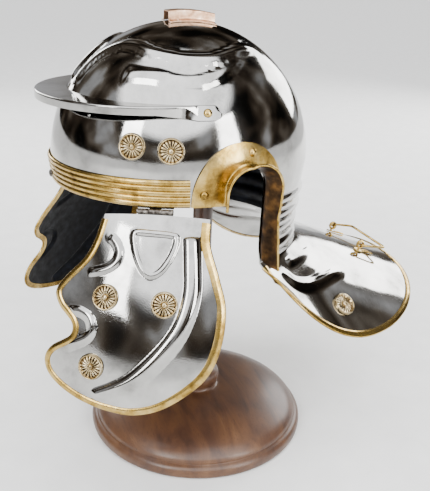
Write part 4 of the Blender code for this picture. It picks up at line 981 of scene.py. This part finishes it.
def guard_lift(flat):
    """Height of the chased ridges at a flat point of the guard."""
    distance, where = near_line(flat, BACK_RIDGE)
    lift = ridge(distance, 0.0068 * (1.0 - 0.35 * fade(where, 0.70, 1.0)), 0.0030) * fade(where, -0.01, 0.03)
    for line, half_width, relief in ((EYE_RIDGE, 0.0036, 0.0017), (MOUTH_RIDGE, 0.0038, 0.0019)):
        distance, where = near_line(flat, line)
        ends = fade(where, -0.02, 0.10) * (1.0 - fade(where, 0.90, 1.02))
        lift = max(lift, ends * ridge(distance, half_width, relief))
    lift = max(lift, ridge(near_line(flat, TRIANGLE)[0], 0.0025, 0.0014))
    return lift * fade(near_line(flat, OUTLINE)[0], 0.0020, 0.0050)


print("guard outline:", len(OUTLINE), "points on", round(1000 * GUARD_LENGTH), "mm of length")

# %% Bow the guard and hang it on its hinge
def hinge_frame(side):
    """Middle of the hinge line, its forward direction and its level outward direction."""
    angle = bowl_angle(HINGE_Y, RIM)
    middle = bowl_point(angle, RIM, HINGE_OUT) - Vector((0.0, 0.0, HINGE_DROP))
    half_width, half_length = bowl_section(RIM)
    forward = Vector((-half_width * math.cos(angle), -half_length * math.sin(angle), 0.0)).normalized()
    outward = Vector((-forward.y, forward.x, 0.0))
    return mirrored(middle, side), mirrored(forward, side), mirrored(outward, side)


def hung(flat, out, side):
    """Place in the room of a flat point of the guard, this far out from its face."""
    bow = flat.x ** 2 / (2.0 * BOW_ACROSS) + flat.y ** 2 / (2.0 * BOW_DOWN)
    middle, forward, outward = hinge_frame(side)
    down = Vector((0.0, 0.0, -1.0))
    hang = down * math.cos(SWINGS[side]) + outward * math.sin(SWINGS[side])
    face = outward * math.cos(SWINGS[side]) - down * math.sin(SWINGS[side])
    return middle + forward * flat.x + hang * (GUARD_TOP_GAP + flat.y) + face * (out - bow)


def guard_face(flat, side):
    """Outward direction of the bowed guard at a flat point."""
    step = 0.001
    here = hung(flat, 0.0, side)
    ahead = hung(flat + Vector((step, 0.0)), 0.0, side) - here
    below = hung(flat + Vector((0.0, step)), 0.0, side) - here
    face = ahead.cross(below).normalized()
    return face if face.x * side > 0.0 else -face


def spaced(line, count):
    """Evenly spaced points of a line."""
    lengths = [0.0]
    for start, end in zip(line, line[1:]):
        lengths.append(lengths[-1] + (end - start).length)
    points, i = [], 0
    for step in range(count + 1):
        goal = lengths[-1] * step / count
        while i < len(line) - 2 and lengths[i + 1] < goal:
            i += 1
        share = (goal - lengths[i]) / (lengths[i + 1] - lengths[i])
        points.append(line[i].lerp(line[i + 1], min(1.0, share)))
    return points


print("guards hang out by", [round(math.degrees(SWINGS[side])) for _, side in SIDES], "degrees")

# %% Form both cheek guards and bind their edges
RINGS, AROUND, TRIM_COLUMNS = 72, 336, 280
GUARD_MIDDLE = Vector((0.085 * GUARD_WIDTH, 0.50 * GUARD_LENGTH))
ROUND_EDGE = spaced(OUTLINE + [OUTLINE[0]], AROUND)
FLAT_GRID = {}
for column in range(AROUND + 1):
    for row in range(RINGS + 1):
        flat = GUARD_MIDDLE.lerp(ROUND_EDGE[column], (row / RINGS) ** 0.85)
        FLAT_GRID[column, row] = (flat, guard_lift(flat))
TRIM_LINE = spaced(OUTLINE[3:-3], TRIM_COLUMNS)


def guard_blank(across, out, side):
    flat, lift = FLAT_GRID[int(round(across * AROUND)) % AROUND, int(round(out * RINGS))]
    return hung(flat, lift, side)


def guard_edge_frame(along, side):
    i = int(round(along * TRIM_COLUMNS))
    flat = TRIM_LINE[i]
    step = (TRIM_LINE[min(TRIM_COLUMNS, i + 1)] - TRIM_LINE[max(0, i - 1)]).normalized()
    face = guard_face(flat, side)
    here = hung(flat, 0.0, side)
    inward = (hung(flat + Vector((-step.y, step.x)) * 0.001, 0.0, side) - here).normalized()
    lap = 0.0040 + 0.0020 * fade(along, 0.45, 0.75)
    return here - face * GUARD_SHEET / 2.0, inward, face, lap


for label, side in SIDES:
    guard = formed_sheet(f"steel_cheek_guard_{label}", AROUND, RINGS, lambda a, b: guard_blank(a, b, side))
    weld(guard)
    face_towards(guard, len(guard.data.polygons) // 2, Vector((side, 0.0, 0.3)))
    dress(guard, steel, black)
    thicken(guard, GUARD_SHEET, inner_slot=1)
    smooth(guard, 50.0)
    done(guard, f"cheek_{label}", "steel", f"cheek_guard_{label}")
    trim = bound_edge(f"brass_cheek_trim_{label}", TRIM_COLUMNS, lambda a: guard_edge_frame(a, side),
                      GUARD_SHEET, 0.0013)
    face_towards(trim, TRIM_COLUMNS // 2, Vector((side, 0.0, 0.3)))
    thicken(trim, TRIM_SHEET)
    smooth(trim, 50.0)
    done(trim, f"cheek_{label}", "brass", f"cheek_trim_{label}")

# %% [markdown]
# ## Rosettes and rivets
#
# The rosettes are small brass pressings: a rolled rim, eighteen petals and a domed middle. One is
# formed as a round grid whose height follows the petals, and copies of it, each with its own mesh, are
# set on the bowl, the cheek guards and the neck guard. Rivets and studs are low domed heads, made once
# for each size and copied in the same way.

# %% One rosette
ROSETTE_RADIUS, PETALS = 0.0103, 18


def rosette_height(radius, turn):
    """Height of the pressed face at a share of the radius."""
    if radius < 0.20:
        return 0.0017 + 0.0011 * math.sqrt(max(0.0, 1.0 - (radius / 0.20) ** 2))
    if radius < 0.80:
        petal = abs(math.cos(PETALS / 2.0 * turn)) ** 0.6
        swell = math.sin(math.pi * (radius - 0.20) / 0.60) ** 0.5
        return 0.0006 + 0.0011 * petal * swell
    if radius < 0.97:
        return 0.0006 + 0.0020 * math.sin(math.pi * (radius - 0.80) / 0.19) ** 0.8
    return 0.0006 + 0.0020 * math.sin(math.pi * 0.17 / 0.19) ** 0.8 * max(0.0, (1.0 - radius) / 0.03)


def rosette_place(across, out):
    turn = 2.0 * math.pi * across
    radius = min(1.0, out / 0.94)
    height = rosette_height(radius, turn) if out < 0.97 else 0.0
    return spoke(turn, ROSETTE_RADIUS * radius, height)


pattern = formed_sheet("rosette_pattern", 180, 34, rosette_place)
weld(pattern)
pick(pattern)
bpy.ops.object.mode_set(mode="EDIT")
bpy.ops.mesh.select_all(action="DESELECT")
bpy.ops.mesh.select_mode(type="EDGE")
bpy.ops.mesh.select_non_manifold()
bpy.ops.mesh.edge_face_add()
bpy.ops.mesh.select_mode(type="VERT")
bpy.ops.object.mode_set(mode="OBJECT")
outwards(pattern)
smooth(pattern, 60.0)
dress(pattern, pale, umber)
for face in pattern.data.polygons:
    spot = face.center
    petal = abs(math.cos(PETALS / 2.0 * math.atan2(spot.y, spot.x)))
    if petal < 0.70 and 0.24 < math.hypot(spot.x, spot.y) / ROSETTE_RADIUS < 0.80 and spot.z > 0.0001:
        face.material_index = 1
print("rosette", [round(v * 1000, 1) for v in pattern.dimensions], "mm")

# %% Set copies on the metal
def seat(point, face):
    """Matrix that stands a piece made on the ground on a face instead."""
    turned = face.to_track_quat("Z", "Y").to_matrix().to_4x4()
    return Matrix.Translation(point) @ turned


def set_copy(pattern, name, point, face, side, body, slot, *nodes):
    """A copy with its own mesh, set on a face of this side."""
    mesh = pattern.data.copy()
    mesh.transform(seat(mirrored(point, side), mirrored(face, side)))
    copy = bpy.data.objects.new(name, mesh)
    bpy.context.scene.collection.objects.link(copy)
    done(copy, body, slot, *nodes)


def neck_face(share, out):
    """Upward direction of the neck guard's left half."""
    along = neck_plain(share + 0.01, out) - neck_plain(share - 0.01, out)
    face = along.cross(neck_plain(share, out + 0.01) - neck_plain(share, out - 0.01)).normalized()
    return face if face.z > 0.0 else -face


BOWL_ROSETTES = (("front", -0.0865, 0.3045), ("back", -0.0600, 0.3025))
CHEEK_ROSETTES = (("front", 0.238, 0.428), ("back", -0.082, 0.453), ("low", 0.303, 0.775))
NECK_ROSETTE, NECK_SEAT = (0.41, 0.81), 0.0006
for label, side in SIDES:
    for place, y, height in BOWL_ROSETTES:
        point = bowl_point(bowl_angle(y, height), height)
        set_copy(pattern, f"brass_bowl_rosette_{place}_{label}", point + bowl_normal(point) * SEAT,
                 bowl_normal(point), side, "helmet", "brass", f"bowl_rosette_{place}_{label}")
    face = neck_face(*NECK_ROSETTE)
    set_copy(pattern, f"brass_neck_rosette_{label}", neck_plain(*NECK_ROSETTE) + face * NECK_SEAT, face, side,
             "helmet", "brass", f"neck_rosette_{label}")
    for place, forward, down in CHEEK_ROSETTES:
        flat = flat_points(((forward, down),))[0]
        face = guard_face(flat, side)
        point = hung(flat, 0.0, side) + face * SEAT
        set_copy(pattern, f"brass_cheek_rosette_{place}_{label}", point, face, 1,
                 f"cheek_{label}", "brass", f"cheek_rosette_{place}_{label}")
bpy.data.objects.remove(pattern)

# %% Rivets and studs
def rivet_blank(name, radius, height, finish):
    """A low domed head on the ground, flat below."""
    def place(across, out):
        roll = math.radians(90.0) * min(1.0, out / 0.9)
        if out > 0.95:
            return Vector((0.0, 0.0, 0.0))
        return spoke(2.0 * math.pi * across, radius * math.sin(roll), height * math.cos(roll))

    head = formed_sheet(name, 32, 20, place)
    weld(head)
    outwards(head)
    smooth(head, 60.0)
    dress(head, finish)
    return head


brass_rivet = rivet_blank("brass_rivet", 0.0034, 0.0022, brass)
iron_stud = rivet_blank("iron_stud", 0.0033, 0.0021, iron)
steel_stud = rivet_blank("steel_stud", 0.0015, 0.0009, steel)
EAR_RIVETS = (("foot", -0.0355, 0.2690), ("crown", 0.0040, 0.2995))
VISOR_RIVET_INSET, VISOR_STUD_Y, VISOR_STUD_Z = 0.0100, -0.1115, 0.3228
for label, side in SIDES:
    for place, y, height in EAR_RIVETS:
        point = bowl_point(bowl_angle(y, height), height, EAR_SEAT + EAR_SHEET)
        set_copy(brass_rivet, f"brass_ear_rivet_{place}_{label}", point, bowl_normal(point), side,
                 "helmet", "brass", f"ear_rivet_{place}_{label}")
    angle = VISOR_SWEEP - VISOR_RIVET_INSET / BOWL_HALF_WIDTH
    point = bowl_point(angle, VISOR_HEIGHT - VISOR_TAB / 2.0, SEAT + VISOR_SHEET)
    set_copy(brass_rivet, f"brass_visor_rivet_{label}", point, bowl_normal(point), side,
             "helmet", "brass", f"visor_rivet_{label}")
    point = bowl_point(bowl_angle(VISOR_STUD_Y, VISOR_STUD_Z), VISOR_STUD_Z)
    set_copy(steel_stud, f"steel_visor_stud_{label}", point, bowl_normal(point), side, "helmet", "steel")
point = bowl_point(0.0, RIM + SEAT + BAND_HEIGHT * 0.3, SEAT + BAND_SHEET + BAND_RELIEF)
set_copy(iron_stud, "iron_brow_stud", point, Vector((0.0, -1.0, 0.0)), 1, "helmet", "iron", "brow_stud")
for blank in (brass_rivet, iron_stud, steel_stud):
    bpy.data.objects.remove(blank)

# %% [markdown]
# ## The crest holder
#
# A short raised channel on the crown takes the foot of a crest. It is folded from one strip of brass:
# flange, wall, top, wall, flange, with a round bend at each fold and two rivets in each flange.

# %% Crest holder
CREST_LENGTH, CREST_Y, CREST_HALF, CREST_BEND = 0.0400, -0.0180, 0.0070, 0.0012
CREST_WIDE, CREST_HEIGHT, CREST_SHEET = 0.0125, 0.0083, 0.0010
CREST_RIVET_SPREAD, CREST_RIVET_RADIUS, CREST_RIVET_HEIGHT = 0.0130, 0.0017, 0.0011


def crown_height(x, y):
    left = 1.0 - (x / BOWL_HALF_WIDTH) ** 2 - ((y - BOWL_CENTRE_Y) / BOWL_HALF_LENGTH) ** 2
    return WAIST + BOWL_RISE * math.sqrt(left)


def crest_half(s, y):
    """Distance from the middle and height of the strip, from a flange's edge (0) to the top's middle (1)."""
    top = crown_height(0.0, y) + CREST_HEIGHT
    foot = crown_height(CREST_HALF, y) + SEAT + CREST_SHEET
    if s < 0.30:
        x = CREST_WIDE + (CREST_HALF + CREST_BEND - CREST_WIDE) * s / 0.30
        return x, crown_height(x, y) + SEAT + CREST_SHEET
    if s < 0.42:
        t = math.radians(90.0) * (s - 0.30) / 0.12
        return CREST_HALF + CREST_BEND * (1.0 - math.sin(t)), foot + CREST_BEND * (1.0 - math.cos(t))
    if s < 0.55:
        return CREST_HALF, foot + CREST_BEND + (top - foot - 2.0 * CREST_BEND) * (s - 0.42) / 0.13
    if s < 0.70:
        t = math.radians(90.0) * (s - 0.55) / 0.15
        return CREST_HALF - CREST_BEND * (1.0 - math.cos(t)), top - CREST_BEND * (1.0 - math.sin(t))
    return (CREST_HALF - CREST_BEND) * (1.0 - (s - 0.70) / 0.30), top


def crest_place(along, over):
    y = CREST_Y + CREST_LENGTH * (along - 0.5)
    x, height = crest_half(1.0 - abs(2.0 * over - 1.0), y)
    return Vector((x if over >= 0.5 else -x, y, height))


crest = formed_sheet("coppery_crest_holder", 24, 80, crest_place)
face_towards(crest, len(crest.data.polygons) // 2, Vector((0.0, 0.0, 1.0)))
dress(crest, copper)
thicken(crest, CREST_SHEET * 0.9)
heads = []
for side in (-1.0, 1.0):
    for y in (CREST_Y - CREST_RIVET_SPREAD, CREST_Y + CREST_RIVET_SPREAD):
        head = rivet_blank("head", CREST_RIVET_RADIUS, CREST_RIVET_HEIGHT, copper)
        x = ((CREST_HALF + CREST_WIDE) / 2.0 + 0.0006) * side
        spot = Vector((x, y, crown_height(x, y) + SEAT + CREST_SHEET * 0.9))
        head.data.transform(seat(spot, Vector((0.0, 0.0, 1.0))))
        heads.append(head)
join(crest, *heads)
smooth(crest, 50.0)
done(crest, "helmet", "copper", "crest_holder")

# %% [markdown]
# ## The carrying handle
#
# A bent brass wire hangs in two eyelets on the neck guard. Its corners are round bends, and its ends
# turn in through the eyelets. Each eyelet is a ring on a washer, and the two legs of its split pin lie
# spread on the neck guard behind it.

# %% Handle and eyelets
def round_corners(points, radius, steps=6):
    """The line through the points with an arc-like curve of this reach at each inner corner."""
    line = [points[0]]
    for before, corner, after in zip(points, points[1:], points[2:]):
        start = corner + (before - corner).normalized() * min(radius, (before - corner).length * 0.45)
        end = corner + (after - corner).normalized() * min(radius, (after - corner).length * 0.45)
        line += [swept(start, corner, end, step / steps) for step in range(steps + 1)]
    return line + [points[-1]]


WIRE, RING, RING_WIRE, LEG, HALF_SPAN, REACH = 0.0012, 0.0033, 0.0011, 0.0008, 0.0270, 0.0260
LEGS = ((0.0030, 0.0115), (-0.0016, 0.0135))
pivot = Vector(next(joint["pos_m"] for joint in frame["joints"] if joint["name"] == "handle_hinge"))
drop = math.tan(math.radians(10.0))
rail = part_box("handle")[1][0] - WIRE
route = [Vector((x, pivot.y + y, pivot.z - y * drop)) for x, y in (
    (HALF_SPAN - RING - 0.0006, 0.0), (rail, 0.0), (rail, REACH), (0.0, REACH))]
route += [mirrored(point, -1) for point in reversed(route[:-1])]
handle = rod("brass_handle", round_corners(route, 0.0042), WIRE, sides=5)
dress(handle, brass)
outwards(handle)
smooth(handle, 50.0)
done(handle, "handle", "brass", "handle")


def on_neck(x, y, out):
    """The point over this spot on the neck guard's top face, this far out from it."""
    _, spot, face, _ = neck.ray_cast(Vector((x, y, 0.5)), Vector((0.0, 0.0, -1.0)))
    return spot + face * out


for label, side in SIDES:
    circle = []
    for step in range(40):
        turn = 2.0 * math.pi * step / 40
        circle.append(pivot + Vector((HALF_SPAN * side, RING * math.cos(turn), RING * math.sin(turn))))
    ring = rod("ring", circle, RING_WIRE, closed=True, sides=4)
    legs = []
    for inward, back in LEGS:
        near = on_neck((HALF_SPAN - inward * 0.35) * side, pivot.y + 0.0020, LEG + SEAT)
        far = on_neck((HALF_SPAN - inward) * side, pivot.y + back, LEG + SEAT)
        raised = near.lerp(far, 0.5) + Vector((0.0, 0.0, 0.0004))
        legs.append(rod("leg", [near, raised, far], LEG, sides=3))
    join(ring, *legs)
    dress(ring, brass)
    outwards(ring)
    ring.name = f"brass_eyelet_ring_{label}"
    smooth(ring, 60.0)
    done(ring, "helmet", "brass")

# %% [markdown]
# ## The stand
#
# The stand is turned on a lathe: a bead round the foot, a groove, a wide dome, then rings and a plain
# post that carries a rounded head inside the bowl. Its profile is a line of radius and height, and the
# grid is wrapped round the axis as the lathe would.

# %% Stand
STAND_RADIUS, POST, HEAD_RADIUS = 0.1055, 0.0090, 0.0300
HEAD_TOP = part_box("stand")[1][2]
HEAD_BASE = HEAD_TOP - HEAD_RADIUS * 0.5
FOOT = (
    (0.000, 0.0000), (0.950, 0.0000), (0.975, 0.0005), (0.995, 0.0025), (1.000, 0.0058), (0.996, 0.0092),
    (0.978, 0.0118), (0.958, 0.0130), (0.950, 0.0136), (0.950, 0.0150), (0.945, 0.0166), (0.930, 0.0190),
    (0.880, 0.0236), (0.780, 0.0282), (0.640, 0.0322), (0.480, 0.0347), (0.330, 0.0358), (0.215, 0.0362),
    (0.185, 0.0372), (0.178, 0.0392), (0.178, 0.0400), (0.190, 0.0408), (0.200, 0.0440), (0.2038, 0.0480),
    (0.198, 0.0520), (0.180, 0.0548), (0.145, 0.0580))
POST_PLACES = (
    (0.0002, 0.0630), (0.0000, 0.0700), (0.0000, 0.2000), (0.0000, HEAD_BASE - HEAD_RADIUS * 0.62),
    (0.0006, HEAD_BASE - HEAD_RADIUS * 0.56))
HEAD = (
    (0.985, -0.0333), (1.000, 0.000), (0.920, 0.195), (0.700, 0.355), (0.380, 0.460), (0.000, 0.4933))
profile = [Vector((STAND_RADIUS * share, height)) for share, height in FOOT]
profile += [Vector((POST + more, height)) for more, height in POST_PLACES]
profile += [Vector((HEAD_RADIUS * share, HEAD_BASE + HEAD_RADIUS * rise)) for share, rise in HEAD]
lathe_line = curved_line(profile, 3, sharp=(1, 8, 9, 20, 28, 29, 30, 31))


def lathe_place(across, up):
    spot = lathe_line[int(round(up * (len(lathe_line) - 1)))]
    return spoke(2.0 * math.pi * across, spot.x, spot.y)


stand = formed_sheet("turned_wood_stand", 128, len(lathe_line) - 1, lathe_place)
weld(stand)
outwards(stand)
dress(stand, wood)
smooth(stand, 40.0)
done(stand, "helmet", "wood", "stand")

# %% [markdown]
# ## What stays as measured
#
# The hinge leaves and the eyelets' shanks are already right in the frame and only get their finish.

# %% Finish the measured pieces that stay
for name, finish in (("hinge_leaf", iron), ("cheek_leaf", iron), ("handle_lug", brass)):
    for label in ("left", "right"):
        measured = bpy.data.objects[f"{name}_{label}"]
        for slot in measured.material_slots:
            slot.material = finish
        print("finished", measured.name)
